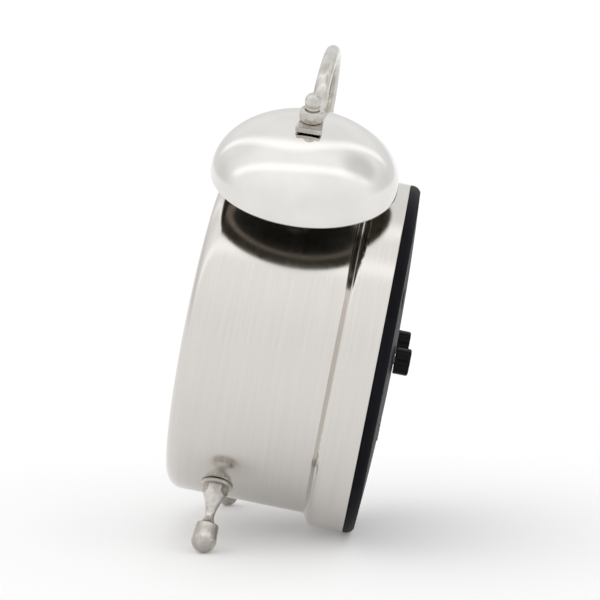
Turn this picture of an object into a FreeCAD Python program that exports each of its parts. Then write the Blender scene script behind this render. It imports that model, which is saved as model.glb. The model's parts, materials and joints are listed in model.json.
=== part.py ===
"""A twin-bell alarm clock on two front feet: drum case, two bells, handle, dial, quartz movement and striker.

Everything is drawn in the drum's own frame, in millimetres: +Y runs back along the drum's axis, +Z is
up across the dial and +X is to the right of someone facing the dial. Y is zero where the case meets the
back cover. The last step leans the clock back on its feet and puts the middle of its base at the origin.
"""

import FreeCAD
import Part

import math
import os

from FreeCAD import Matrix, Placement, Rotation, Vector

# ---- stance --------------------------------------------------------------------------------------
LEAN_DEG = 11.0

# ---- case shell ----------------------------------------------------------------------------------
WALL = 0.9
BODY_R = 46.7
FLANGE_R = 49.9
FRONT_Y = -51.1
SHOULDER_R = 4.3
STEP_Y = -11.6
FLANGE_Y = -9.8
STEP_CORNER_R = 0.6
FLANGE_CORNER_R = 2.4
WINDOW_R = 41.4
LIP_DEPTH = 1.2
BORE_R = BODY_R - WALL

# ---- back cover ----------------------------------------------------------------------------------
COVER_R = 49.8
COVER_EDGE_Y = 2.9
COVER_EDGE_R = 2.4
COVER_CROWN_Y = 4.9
COVER_WALL = 1.8
SKIRT_R = FLANGE_R - WALL - 0.1
SKIRT_WALL = 1.5
SKIRT_DEPTH = 5.0
UNDER_Y = -20.0
SCREW_CIRCLE_R = 41.0
SCREW_R = 1.2
SCREW_HEAD_R = 2.5
SCREW_HEAD_Y = (1.42, 3.0)
SCREW_TIP_Y = -10.5
SWITCH_Z = 15.0
SWITCH_TRAVEL = 5.2
SCREW_ANGLES_DEG = (30.0, 150.0, 270.0)

# ---- bells ---------------------------------------------------------------------------------------
BELL_R = 25.2
BELL_H = 16.25
BELL_WALL = 1.1
BELL_TILT_DEG = 28.5
BELL_PITCH_DEG = 2.6
BELL_GAP_HALF = 4.25
BELL_Y = -28.45
BELL_RIM_Z = 46.8
POST_R = 2.2
STUD_R = 1.5
STUD_HOLE_R = 1.6
STUD_NUT = 5.5
POST_FOOT_R = 4.6
FINIAL_COLLAR_R = 3.25
FINIAL_COLLAR_H = 3.2
FINIAL_BALL_R = 2.33
FINIAL_BALL_UP = 22.95
STUD_TOP_UP = 20.0

# ---- handle --------------------------------------------------------------------------------------
HANDLE_R = 2.0
HANDLE_TOP_Z = 82.1
HANDLE_Y = -28.4
HANDLE_FOOT_Z = 65.0
HANDLE_HALF_SPAN = 28.0
HANDLE_CORNER_R = 11.0
TAB_T = 1.3
TAB_HALF_W = 3.6
TAB_NECK_HALF_W = 2.0
TAB_OUT = 5.5
TAB_IN = 9.0

# ---- feet ----------------------------------------------------------------------------------------
FOOT_ANGLE_DEG = 32.05
FOOT_Y = -36.05
FOOT_TIP_R = 3.4
FOOT_NECK_R = 1.33
FOOT_HEAD_FLATS = 6.1
FOOT_HEAD_H = 2.1
FOOT_WASHER_R = 4.4
FOOT_WASHER_T = 0.9
FOOT_STUD_IN = 5.2

# ---- window and dial -----------------------------------------------------------------------------
LENS_R = 44.4
LENS_FRONT_Y = -49.6
LENS_T = 1.4
DIAL_FRONT_Y = -41.2
DIAL_T = 0.5
DIAL_R = 44.6
CHASSIS_T = 1.4
CHASSIS_PAD_R = 13.0
HAND_T = 0.4
ALARM_HAND_Y = -44.5
HOUR_HAND_Y = -45.5
MINUTE_HAND_Y = -46.5
SECOND_HAND_Y = -47.5
HOUR_DEG = 304.8
MINUTE_DEG = 57.5
SECOND_DEG = 210.0
ALARM_DEG = 195.0

# ---- movement case -------------------------------------------------------------------------------
MOVE_HALF_W = 30.0
MOVE_LOW_Z = -20.0
MOVE_HIGH_Z = 18.0
MOVE_WALL = 1.2
MOVE_CORNER_R = 3.0
MOVE_FRONT_Y = -36.45
MOVE_SPLIT_Y = -27.5
MOVE_BACK_Y = -16.5
PLATE_FRONT_Y = -29.9
PLATE_T = 1.0
TUBE_R = 3.9
TUBE_END_Y = -43.4
RUN_CLEAR = 0.05
CANNON_R = 2.0
HOUR_TUBE_R = 2.6
ALARM_TUBE_R = 3.2
SECONDS_ARBOR_R = 0.8
TRAIN_ARBOR_R = 0.5
ROTOR_ARBOR_R = 0.4
ARBOR_END_Y = -17.1
COIL_Z = -16.2

# ---- front and back Y of each wheel and flat piece in the movement
ALARM_SET_PINION_Y = (-35.1, -33.9)
ALARM_WHEEL_Y = (-34.9, -34.1)
MINUTE_PINION_Y = (-33.8, -31.6)
HOUR_WHEEL_Y = (-33.5, -32.7)
CANNON_PINION_Y = (-32.2, -30.2)
MINUTE_WHEEL_Y = (-31.6, -30.6)
THIRD_PINION_Y = (-28.7, -27.7)
CENTRE_WHEEL_Y = (-28.5, -27.9)
SECONDS_PINION_Y = (-26.9, -25.7)
THIRD_WHEEL_Y = (-26.6, -26.0)
FIFTH_PINION_Y = (-24.9, -23.7)
SECONDS_WHEEL_Y = (-24.6, -24.0)
ROTOR_PINION_Y = (-22.9, -21.7)
FIFTH_WHEEL_Y = (-22.6, -22.0)
MAGNET_Y = (-21.7, -19.7)
STATOR_Y = (-21.1, -20.3)
BOARD_Y = (-19.4, -18.6)

# ---- gears: teeth, with the module of each pair --------------------------------------------------
PRESSURE_DEG = 25.0
ADDENDUM = 0.8
DEDENDUM = 1.05
BACKLASH = 0.14
CANNON_TEETH = 14
MINUTE_WHEEL_TEETH = 42
SET_PINION_TEETH = 14
SET_MODULE = 0.5
MINUTE_PINION_TEETH = 12
HOUR_WHEEL_TEETH = 48
SECONDS_PINION_TEETH = 10
THIRD_WHEEL_TEETH = 75
THIRD_MODULE = 0.2
THIRD_PINION_TEETH = 10
CENTRE_WHEEL_TEETH = 80
ROTOR_PINION_TEETH = 10
FIFTH_WHEEL_TEETH = 60
FIFTH_PINION_TEETH = 12
SECONDS_WHEEL_TEETH = 60
FAST_MODULE = 0.25
ALARM_WHEEL_TEETH = 40
IDLER_TEETH = 24
STRIKER_WHEEL_TEETH = 40
MOTOR_PINION_TEETH = 10
STRIKER_MODULE = 0.4

# ---- where the arbors stand, as (x, z) -----------------------------------------------------------
KNOB_X = 24.0
KNOB_Z = 3.2
THIRD_ANGLE_DEG = 100.0
FIFTH_ANGLE_DEG = 200.0
ROTOR_ANGLE_DEG = 260.0

# ---- knobs ---------------------------------------------------------------------------------------
KNOB_R = 3.7
KNOB_FRONT_Y = 4.75
KNOB_BACK_Y = 8.9
KNOB_FLUTES = 8
FLUTE_R = 0.9
SHAFT_R = 1.2

# ---- striker -------------------------------------------------------------------------------------
HAMMER_PIVOT_Z = 38.0
HAMMER_HEAD_Z = 58.8
HAMMER_HEAD_R = 2.6
HAMMER_HEAD_L = 5.5
HAMMER_ROD_R = 1.0
CRANK_Z = 27.0
CRANK_THROW = 0.75
CRANK_PIN_R = 0.6
FORK_GAP_HALF = 2.4
BRACKET_FRONT_Y = -22.5
BRACKET_T = 1.5
CRANK_FRONT_Y = -26.5
MOTOR_R = 6.0
MOTOR_L = 13.0
BRACKET_POST_X = (12.5, -20.0)

# ---- battery -------------------------------------------------------------------------------------
CELL_R = 7.1
CELL_L = 49.2
CELL_Y = -5.6
CELL_Z = -22.2
TRAY_HALF_W = 28.6
TRAY_HALF_H = 9.0
TRAY_WALL = 1.2
DOOR_HALF_W = 26.8
DOOR_HALF_H = 7.4
DOOR_GAP = 0.2

ACROSS = Vector(1, 0, 0)
BACK = Vector(0, 1, 0)
UP = Vector(0, 0, 1)
ORIGIN = Vector(0, 0, 0)


# ==== helpers =====================================================================================
def corner_edges(corners):
    """Edges through the (x, y, radius) corners of a closed outline, each corner rounded by its radius."""
    count = len(corners)
    points = [Vector(x, y, 0) for x, y, _ in corners]
    cuts = []
    for i, (_, _, radius) in enumerate(corners):
        here = points[i]
        back = (points[i - 1] - here).normalize()
        ahead = (points[(i + 1) % count] - here).normalize()
        half_turn = (math.pi - back.getAngle(ahead)) / 2
        reach = radius * math.tan(half_turn)
        middle = here
        if radius > 0:
            inward = (back + ahead).normalize()
            middle = here + inward * (radius / math.cos(half_turn) - radius)
        cuts.append((here + back * reach, middle, here + ahead * reach))
    edges = []
    for i, (start, middle, end) in enumerate(cuts):
        if corners[i][2] > 0:
            edges.append(Part.Arc(start, middle, end).toShape())
        following = cuts[(i + 1) % count][0]
        if (following - end).Length > 1e-7:
            edges.append(Part.makeLine(end, following))
    return edges


def turn(face, at=ORIGIN, along=BACK):
    """Revolves a face in the X-Y plane about its Y axis, then points that axis along a direction."""
    solid = face.revolve(ORIGIN, BACK, 360)
    solid.Placement = Placement(at, Rotation(BACK, along))
    return solid


def turned(corners, at=ORIGIN, along=BACK):
    """A turned piece from (radius, height, corner radius) corners."""
    return turn(Part.Face(Part.Wire(corner_edges(corners))), at, along)


def rod(radius, start, end, x=0.0, z=0.0):
    """A round bar along the drum's axis, from one Y to another."""
    return Part.makeCylinder(radius, end - start, Vector(x, start, z), BACK)


def ring(outer, inner, start, end, x=0.0, z=0.0):
    """A plain tube along the drum's axis."""
    return rod(outer, start, end, x, z).cut(rod(inner, start - 1, end + 1, x, z))


def block(x0, x1, y0, y1, z0, z1):
    """A box between two corners."""
    return Part.makeBox(x1 - x0, y1 - y0, z1 - z0, Vector(x0, y0, z0))


def slab(outline, start, end):
    """A plate with an (x, z, corner radius) outline, from one Y to another."""
    wire = Part.Wire(corner_edges(outline))
    face = Part.Face(wire)
    face.Placement = Placement(Vector(0, start, 0), Rotation(ACROSS, 90))
    return face.extrude(BACK * (end - start))


def rounded_box(half_w, low, high, corner, start, end):
    """A plate with rounded corners, centred on x = 0."""
    outline = [(-half_w, low, corner), (half_w, low, corner), (half_w, high, corner), (-half_w, high, corner)]
    return slab(outline, start, end)


def fuse(shapes):
    """One solid from shapes that touch or overlap."""
    return shapes[0].multiFuse(shapes[1:]).removeSplitter()


def cut(shape, tools):
    """A shape less every tool."""
    return shape.cut(Part.makeCompound(tools))


def mirrored(shape):
    """The left-hand copy of a right-hand piece."""
    return shape.mirror(ORIGIN, ACROSS)


def both(shape):
    """The right-hand and left-hand pieces as one group of separate solids."""
    return Part.makeCompound([shape, mirrored(shape)])


def polar(radius, degrees):
    """An (x, z) point at an angle from +X towards +Z."""
    angle = math.radians(degrees)
    return radius * math.cos(angle), radius * math.sin(angle)


def hex_prism(across_flats, start, end, x=0.0, z=0.0):
    """A hexagonal nut blank along the drum's axis."""
    reach = across_flats / math.sqrt(3)
    points = [polar(reach, 60 * k) for k in range(6)]
    return slab([(x + px, z + pz, 0) for px, pz in points], start, end)


# ==== gears =======================================================================================
def involute(angle):
    """The involute function of an angle in radians."""
    return math.tan(angle) - angle


def gear(teeth, module, phase, start, end, at=(0.0, 0.0), steps=3):
    """A spur gear; phase is the angle, in radians from +X towards +Z, of the middle of one tooth."""
    pitch_r = teeth * module / 2
    pressure = math.radians(PRESSURE_DEG)
    base_r = pitch_r * math.cos(pressure)
    tip_r = pitch_r + ADDENDUM * module
    root_r = pitch_r - DEDENDUM * module
    half_at_pitch = math.pi / (2 * teeth) - BACKLASH * module / (2 * pitch_r)
    low_r = max(base_r, root_r)
    flank = []
    if root_r < base_r:
        flank.append((root_r, half_at_pitch + involute(pressure)))
    for k in range(steps + 1):
        radius = low_r + (tip_r - low_r) * k / steps
        angle = math.acos(min(1.0, base_r / radius))
        flank.append((radius, half_at_pitch + involute(pressure) - involute(angle)))
    points = []
    for tooth in range(teeth):
        middle = phase + 2 * math.pi * tooth / teeth
        sides = [(r, middle - half) for r, half in flank]
        sides += [(r, middle + half) for r, half in reversed(flank)]
        points += [Vector(at[0] + r * math.cos(a), start, at[1] + r * math.sin(a)) for r, a in sides]
    face = Part.Face(Part.makePolygon(points + points[:1]))
    return face.extrude(BACK * (end - start))


def meshing_phase(teeth_a, phase_a, at_a, teeth_b, at_b):
    """The phase that puts a gap of gear b where a tooth of gear a reaches it."""
    towards = math.atan2(at_b[1] - at_a[1], at_b[0] - at_a[0])
    share = 0.5 - (phase_a - towards) * teeth_a / (2 * math.pi)
    return towards + math.pi + share * 2 * math.pi / teeth_b


def beside(at, distance, degrees):
    """The point at a distance and direction from another."""
    dx, dz = polar(distance, degrees)
    return at[0] + dx, at[1] + dz


def apex(a, b, from_a, from_b, side):
    """The point at stated distances from a and b, on the chosen side of the line from a to b."""
    dx, dz = b[0] - a[0], b[1] - a[1]
    base = math.hypot(dx, dz)
    along = (from_a**2 - from_b**2 + base**2) / (2 * base)
    off = side * math.sqrt(from_a**2 - along**2)
    return a[0] + (dx * along - dz * off) / base, a[1] + (dz * along + dx * off) / base


CENTRE = (0.0, 0.0)
TIME_SHAFT = (KNOB_X, KNOB_Z)
ALARM_SHAFT = (-KNOB_X, KNOB_Z)
MINUTE_DISTANCE = SET_MODULE * (CANNON_TEETH + MINUTE_WHEEL_TEETH) / 2
HOUR_MODULE = 2 * MINUTE_DISTANCE / (MINUTE_PINION_TEETH + HOUR_WHEEL_TEETH)
SET_DISTANCE = SET_MODULE * (SET_PINION_TEETH + MINUTE_WHEEL_TEETH) / 2
MINUTE_AT = apex(CENTRE, TIME_SHAFT, MINUTE_DISTANCE, SET_DISTANCE, -1)
IDLER_AT = apex(
    CENTRE,
    ALARM_SHAFT,
    SET_MODULE * (ALARM_WHEEL_TEETH + IDLER_TEETH) / 2,
    SET_MODULE * (SET_PINION_TEETH + IDLER_TEETH) / 2,
    -1,
)
THIRD_DISTANCE = THIRD_MODULE * (SECONDS_PINION_TEETH + THIRD_WHEEL_TEETH) / 2
CENTRE_MODULE = 2 * THIRD_DISTANCE / (THIRD_PINION_TEETH + CENTRE_WHEEL_TEETH)
THIRD_AT = beside(CENTRE, THIRD_DISTANCE, THIRD_ANGLE_DEG)
FIFTH_DISTANCE = FAST_MODULE * (FIFTH_PINION_TEETH + SECONDS_WHEEL_TEETH) / 2
FIFTH_AT = beside(CENTRE, FIFTH_DISTANCE, FIFTH_ANGLE_DEG)
ROTOR_DISTANCE = FAST_MODULE * (ROTOR_PINION_TEETH + FIFTH_WHEEL_TEETH) / 2
ROTOR_AT = beside(FIFTH_AT, ROTOR_DISTANCE, ROTOR_ANGLE_DEG)
CRANK_AT = (0.0, CRANK_Z)
MOTOR_DISTANCE = STRIKER_MODULE * (STRIKER_WHEEL_TEETH + MOTOR_PINION_TEETH) / 2
MOTOR_AT = (-MOTOR_DISTANCE, CRANK_Z)
SCREW_POINTS = [polar(SCREW_CIRCLE_R, a) for a in SCREW_ANGLES_DEG]


# ==== case ========================================================================================
def step_shift(wall):
    """How far back the inner corners of the step lie from the outer ones, for a wall of even thickness."""
    slope = math.atan2(FLANGE_R - BODY_R, FLANGE_Y - STEP_Y)
    return wall * math.tan(slope / 2)


def case_shell():
    """The drum: rolled front lip, straight barrel, step and rear flange, with its holes."""
    shift = step_shift(WALL)
    drum = turned(
        [
            (WINDOW_R, FRONT_Y + LIP_DEPTH, 0.0),
            (WINDOW_R, FRONT_Y, 0.5),
            (BODY_R, FRONT_Y, SHOULDER_R),
            (BODY_R, STEP_Y, STEP_CORNER_R),
            (FLANGE_R, FLANGE_Y, FLANGE_CORNER_R),
            (FLANGE_R, 0.0, 0.3),
            (FLANGE_R - WALL, 0.0, 0.0),
            (FLANGE_R - WALL, FLANGE_Y + shift, FLANGE_CORNER_R - WALL),
            (BORE_R, STEP_Y + shift, STEP_CORNER_R + WALL),
            (BORE_R, FRONT_Y + WALL, SHOULDER_R - WALL),
            (WINDOW_R + WALL, FRONT_Y + WALL, 0.0),
            (WINDOW_R + WALL, FRONT_Y + LIP_DEPTH, 0.0),
        ]
    )
    slot = fuse(
        [
            block(-2.5, 2.5, BELL_Y - 2.0, BELL_Y + 2.0, BORE_R - 3, BODY_R + 3),
            Part.makeCylinder(2.0, 8, Vector(-2.5, BELL_Y, BORE_R - 4), UP),
            Part.makeCylinder(2.0, 8, Vector(2.5, BELL_Y, BORE_R - 4), UP),
        ]
    )
    at, along = bell_axis()
    stud = Part.makeCylinder(STUD_HOLE_R, 20, at - along * 18, along)
    foot = Part.makeCylinder(STUD_HOLE_R, 12, foot_point(BORE_R - 6), foot_direction())
    return cut(drum, [slot, both(stud), both(foot)])


def dome_y(radius):
    """Y of the back cover's outer face at a distance from the axis."""
    rise = COVER_CROWN_Y - COVER_EDGE_Y
    sphere = (COVER_R**2 + rise**2) / (2 * rise)
    return COVER_CROWN_Y - sphere + math.sqrt(sphere**2 - radius**2)


def dome_arc(drop):
    """The dome's half section curve, dropped by a distance, and its two ends."""
    points = [Vector(r, dome_y(r) - drop, 0) for r in (0.0, COVER_R / 2, COVER_R)]
    return points[0], points[2], Part.Arc(*points).toShape()


def under_dome(drop):
    """Everything below the dome, dropped by a distance."""
    middle, edge, curve = dome_arc(drop)
    corner, base = Vector(COVER_R, UNDER_Y, 0), Vector(0, UNDER_Y, 0)
    lines = [Part.makeLine(edge, corner), Part.makeLine(corner, base), Part.makeLine(base, middle)]
    return turn(Part.Face(Part.Wire([curve] + lines)))


def dome_shell():
    """The domed wall of the cover, inside its rim."""
    return rod(COVER_R - 1.2, 0.05, 10).common(under_dome(0.0)).cut(under_dome(COVER_WALL))


def cover_rim():
    """The cover's rounded rim and the skirt that plugs into the case."""
    inner = SKIRT_R - SKIRT_WALL
    return turned(
        [
            (inner, -SKIRT_DEPTH, 0.4),
            (SKIRT_R, -SKIRT_DEPTH, 0.4),
            (SKIRT_R, 0.02, 0.0),
            (COVER_R, 0.02, 0.3),
            (COVER_R, COVER_EDGE_Y + 0.3, COVER_EDGE_R),
            (inner - 1, COVER_EDGE_Y + 0.3, 0.0),
            (inner - 1, 0.9, 0.0),
            (inner, 0.0, 0.0),
        ]
    ).common(under_dome(0.0))


def battery_box():
    """The cell's compartment, moulded with the cover and open to the door."""
    start = CELL_Y - CELL_R - TRAY_WALL - 0.2
    outer = block(-TRAY_HALF_W, TRAY_HALF_W, start, 6.0, CELL_Z - TRAY_HALF_H, CELL_Z + TRAY_HALF_H)
    half_w, half_h = TRAY_HALF_W - TRAY_WALL, TRAY_HALF_H - TRAY_WALL
    inner = block(-half_w, half_w, start + TRAY_WALL, 7.0, CELL_Z - half_h, CELL_Z + half_h)
    return outer.cut(inner).common(under_dome(COVER_WALL / 2))


def door_box(grow):
    """The space of the battery door, grown by a gap."""
    half_w, half_h = DOOR_HALF_W + grow, DOOR_HALF_H + grow
    return rounded_box(half_w, CELL_Z - half_h, CELL_Z + half_h, 1.5 + grow, -2, 12)


def back_cover():
    """The cover, with its battery box, screw bosses and holes for the knobs, switch, screws and door."""
    blank = [cover_rim(), dome_shell(), battery_box()]
    bosses = [rod(4.0, -1.0, dome_y(SCREW_CIRCLE_R) - 1.0, x, z) for x, z in SCREW_POINTS]
    tools = [door_box(DOOR_GAP), rounded_box(5.0, SWITCH_Z - 1.5, SWITCH_Z + 1.5, 0.5, 0, 12)]
    tools += [rod(2.8, 1.4, 12, x, z) for x, z in SCREW_POINTS]
    tools += [rod(1.5, -3, 12, x, z) for x, z in SCREW_POINTS]
    tools += [rod(SHAFT_R + 0.3, 0, 12, x, z) for x, z in (TIME_SHAFT, ALARM_SHAFT)]
    return cut(fuse(blank + bosses), tools)


def cover_screws():
    """Three cross-head screws through the cover into the chassis pillars."""
    seat, top = SCREW_HEAD_Y
    screws = []
    for x, z in SCREW_POINTS:
        screw = turned(
            [
                (0, SCREW_TIP_Y, 0),
                (SCREW_R, SCREW_TIP_Y, 0.4),
                (SCREW_R, seat, 0),
                (SCREW_HEAD_R, seat, 0),
                (SCREW_HEAD_R, top, 0.4),
                (0, top, 0),
            ],
            Vector(x, 0, z),
        )
        across = block(x - 1.6, x + 1.6, top - 0.9, top + 1, z - 0.3, z + 0.3)
        upright = block(x - 0.3, x + 0.3, top - 0.9, top + 1, z - 1.6, z + 1.6)
        screws.append(screw.cut(fuse([across, upright])))
    return Part.makeCompound(screws)


# ==== bells, posts, finials and handle ============================================================
def bell_axis():
    """The right-hand bell's rim centre and the direction of its post."""
    tilt, pitch = math.radians(BELL_TILT_DEG), math.radians(BELL_PITCH_DEG)
    along = Vector(math.sin(tilt), -math.sin(pitch) * math.cos(tilt), math.cos(tilt)).normalize()
    at = Vector(BELL_GAP_HALF + BELL_R * math.cos(tilt), BELL_Y, BELL_RIM_Z)
    return at, along


def bell_placement():
    """Carries a piece drawn with Y outwards, X across and Z up its post to the right-hand bell."""
    at, along = bell_axis()
    tilt = math.radians(BELL_TILT_DEG)
    outward = Vector(math.cos(tilt), 0, -math.sin(tilt))
    rearward = along.cross(outward)
    frame = Matrix(
        outward.x, rearward.x, along.x, at.x,
        outward.y, rearward.y, along.y, at.y,
        outward.z, rearward.z, along.z, at.z,
        0, 0, 0, 1,
    )
    return Placement(frame)


def quarter_ellipse(radius, height):
    """The upper right quarter of an ellipse in the X-Y plane, from its rim to its pole."""
    if radius > height:
        ellipse = Part.Ellipse(ORIGIN, radius, height)
        return Part.Arc(ellipse, 0, math.pi / 2).toShape()
    raise ValueError("a bell is wider than it is high")


def bell():
    """A domed bell, half an ellipsoid outside and in, with a rounded rim and a hole for its stud."""
    inner_r, inner_h = BELL_R - BELL_WALL, BELL_H - BELL_WALL
    half = BELL_WALL / 2
    lip = Part.Arc(Vector(BELL_R, 0, 0), Vector(BELL_R - half, -half, 0), Vector(inner_r, 0, 0))
    face = Part.Face(
        Part.Wire(
            [
                quarter_ellipse(BELL_R, BELL_H),
                lip.toShape(),
                quarter_ellipse(inner_r, inner_h),
                Part.makeLine(Vector(0, inner_h, 0), Vector(0, BELL_H, 0)),
            ]
        )
    )
    at, along = bell_axis()
    hole = Part.makeCylinder(STUD_HOLE_R, 6, at + along * (BELL_H - 3), along)
    return turn(face, at, along).cut(hole)


def barrel_tool(radius):
    """A cylinder on the drum's axis that shapes pieces which sit on the barrel."""
    return rod(radius, FRONT_Y, 0)


def bell_post():
    """The pillar under a bell: saddle foot on the case, shank, shoulder and a thin stud at each end."""
    at, along = bell_axis()
    shoulder = BELL_H - BELL_WALL - 0.2
    pillar = turned(
        [
            (0, -10.0, 0),
            (POST_FOOT_R, -10.0, 0),
            (POST_FOOT_R, -5.6, 0.8),
            (POST_R, -4.4, 0.8),
            (POST_R, shoulder - 1.2, 0.0),
            (3.0, shoulder - 1.2, 0.2),
            (3.0, shoulder, 0.2),
            (0, shoulder, 0),
        ],
        at,
        along,
    ).cut(barrel_tool(BODY_R + 0.01))
    upper = Part.makeCylinder(STUD_R, STUD_TOP_UP - shoulder + 0.5, at + along * (shoulder - 0.5), along)
    lower = Part.makeCylinder(STUD_R, 12, at - along * 15, along)
    return fuse([pillar, upper, lower])


def stand(shape, at, along):
    """Carries a piece drawn along +Y from the origin to a point, with its Y axis along a direction."""
    shape.Placement = Placement(at, Rotation(BACK, along))
    return shape


def nut_blank(low, high, across_flats, bore):
    """A hexagonal nut drawn along +Y, with its far corners turned down."""
    blank = hex_prism(across_flats, low, high).cut(rod(bore, low - 1, high + 1))
    reach = across_flats * 0.56
    crown = turned([(0, low, 0), (reach, low, 0), (reach, high, 0.5), (0, high, 0)])
    return blank.common(crown)


def post_nuts():
    """Nuts inside the case that pull the bell posts down, shaped to the barrel's inner wall."""
    at, along = bell_axis()
    nut = stand(nut_blank(7.0, 13.2, STUD_NUT, STUD_HOLE_R), at, along * -1)
    return both(nut.common(barrel_tool(BORE_R - 0.02)))


def tab_top():
    """Height of the handle tab's upper face along the bell's axis."""
    return BELL_H + 0.05 + TAB_T


def handle_tab():
    """A flat tab under a finial, tapering inwards to the handle's bar."""
    at, along = bell_axis()
    skew = HANDLE_Y - (at + along * tab_top()).y
    outline = [
        (TAB_OUT, -TAB_HALF_W, 0.7),
        (TAB_OUT, TAB_HALF_W, 0.7),
        (-TAB_IN, skew + TAB_NECK_HALF_W, 1.2),
        (-TAB_IN, skew - TAB_NECK_HALF_W, 1.2),
    ]
    face = Part.Face(Part.Wire(corner_edges(outline)))
    plate = face.extrude(UP * TAB_T).cut(Part.makeCylinder(STUD_HOLE_R, TAB_T + 2, Vector(0, 0, -1), UP))
    plate.translate(Vector(0, 0, BELL_H + 0.05))
    plate.Placement = bell_placement().multiply(plate.Placement)
    return plate


def handle_path():
    """A three-centred arch across the drum, from one tab to the other."""
    rise = HANDLE_TOP_Z - HANDLE_FOOT_Z
    inset = HANDLE_HALF_SPAN - HANDLE_CORNER_R
    crown_r = (inset**2 + rise**2 - HANDLE_CORNER_R**2) / (2 * (rise - HANDLE_CORNER_R))
    crown_z = HANDLE_TOP_Z - crown_r
    lean = math.atan2(inset, HANDLE_FOOT_Z - crown_z)

    def corner(angle, side):
        x = side * (inset + HANDLE_CORNER_R * math.cos(angle))
        return Vector(x, HANDLE_Y, HANDLE_FOOT_Z + HANDLE_CORNER_R * math.sin(angle))

    meet = math.pi / 2 - lean
    top = Vector(0, HANDLE_Y, HANDLE_TOP_Z)
    right = Part.Arc(corner(0, 1), corner(meet / 2, 1), corner(meet, 1))
    crown = Part.Arc(corner(meet, 1), top, corner(meet, -1))
    left = Part.Arc(corner(meet, -1), corner(meet / 2, -1), corner(0, -1))
    return Part.Wire([right.toShape(), crown.toShape(), left.toShape()])


def handle():
    """A round bar bent into a low arch, with a flat tab at each end."""
    path = handle_path()
    start = path.Vertexes[0].Point
    section = Part.Wire(Part.makeCircle(HANDLE_R, start, UP))
    bar = path.makePipeShell([section], True, True)
    tab = handle_tab()
    return fuse([bar, tab, mirrored(tab)])


def finial():
    """A round nut with a ball on top, which clamps the handle and bell to the post."""
    base = tab_top() + 0.02
    top = base + FINIAL_COLLAR_H
    ring_low, ring_high = top + 0.25, top + 0.8
    blank = turned(
        [
            (0, base, 0),
            (FINIAL_COLLAR_R, base, 0.4),
            (FINIAL_COLLAR_R, top, 1.0),
            (1.7, top, 0),
            (1.7, ring_low, 0),
            (2.1, ring_low, 0.2),
            (2.1, ring_high, 0.2),
            (1.3, ring_high, 0),
            (1.3, FINIAL_BALL_UP - 1.5, 0),
            (0, FINIAL_BALL_UP - 1.5, 0),
        ]
    )
    ball = Part.makeSphere(FINIAL_BALL_R, BACK * FINIAL_BALL_UP)
    bore = rod(STUD_R + 0.02, base - 1, STUD_TOP_UP + 0.1)
    return stand(fuse([blank, ball]).cut(bore), *bell_axis())


# ==== feet ========================================================================================
def foot_direction():
    """The way the right-hand foot points, square to the drum's axis."""
    angle = math.radians(FOOT_ANGLE_DEG)
    return Vector(math.sin(angle), 0, -math.cos(angle))


def foot_point(radius):
    """A point on the right-hand foot's axis at a distance from the drum's axis."""
    return foot_direction() * radius + BACK * FOOT_Y


def height_leaned(y, z):
    """Height of a drum-frame point once the clock leans back."""
    lean = math.radians(LEAN_DEG)
    return z * math.cos(lean) - y * math.sin(lean)


def floor_level():
    """Height of the floor under the cover's rounded rim, in the leaned frame."""
    centre_y = COVER_EDGE_Y + 0.3 - COVER_EDGE_R
    return height_leaned(centre_y, -(COVER_R - COVER_EDGE_R)) - COVER_EDGE_R


def foot_reach():
    """Distance from the drum's axis to the centre of a foot's tip, so that the tip meets the floor."""
    lean = math.radians(LEAN_DEG)
    drop = -(floor_level() + FOOT_TIP_R) - FOOT_Y * math.sin(lean)
    return drop / (math.cos(lean) * math.cos(math.radians(FOOT_ANGLE_DEG)))


def bend(start, through, end):
    """A round stretch of a section through three (radius, height) points."""
    return Part.Arc(*[Vector(x, y, 0) for x, y in (start, through, end)]).toShape()


def straight(start, end):
    """A straight stretch of a section between two (radius, height) points."""
    return Part.makeLine(Vector(*start, 0), Vector(*end, 0))


def foot():
    """A turned foot: hexagonal head, waisted neck and a long round-ended tip, with a stud into the case."""
    tip = foot_reach() - BODY_R
    low, head = FOOT_WASHER_T, FOOT_WASHER_T + FOOT_HEAD_H
    corner_r = FOOT_HEAD_FLATS / math.sqrt(3)
    shoulder, waist = tip - 4.5, tip - 7.9
    slant = math.sqrt(0.5)
    profile = [
        straight((0, low), (corner_r, low)),
        straight((corner_r, low), (corner_r, head - 0.3)),
        bend((corner_r, head - 0.3), (2.05, (head + waist) / 2), (FOOT_NECK_R, waist)),
        bend((FOOT_NECK_R, waist), (1.5, waist + 1.9), (2.2, shoulder - 0.35)),
        straight((2.2, shoulder - 0.35), (2.9, shoulder)),
        bend((2.9, shoulder), (3.1, shoulder + 0.14), (3.17, shoulder + 0.4)),
        straight((3.17, shoulder + 0.4), (FOOT_TIP_R, tip)),
        bend((FOOT_TIP_R, tip), (FOOT_TIP_R * slant, tip + FOOT_TIP_R * slant), (0, tip + FOOT_TIP_R)),
        straight((0, tip + FOOT_TIP_R), (0, low)),
    ]
    flats = rod(corner_r + 1, low - 1, waist).cut(hex_prism(FOOT_HEAD_FLATS, low - 2, waist + 1))
    stud = rod(STUD_R, -FOOT_STUD_IN, low + 1)
    body = fuse([turn(Part.Face(Part.Wire(profile))).cut(flats), stud])
    return stand(body, foot_point(BODY_R), foot_direction())


def foot_washers():
    """A thin flat washer between each foot and the barrel, with its outer edge rolled over."""
    top = FOOT_WASHER_T - 0.02
    washer = turned(
        [
            (STUD_HOLE_R, 0.02, 0),
            (FOOT_WASHER_R, 0.02, 0),
            (FOOT_WASHER_R, top, 0.45),
            (STUD_HOLE_R, top, 0),
        ],
        foot_point(BODY_R),
        foot_direction(),
    )
    return both(washer)


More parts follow.
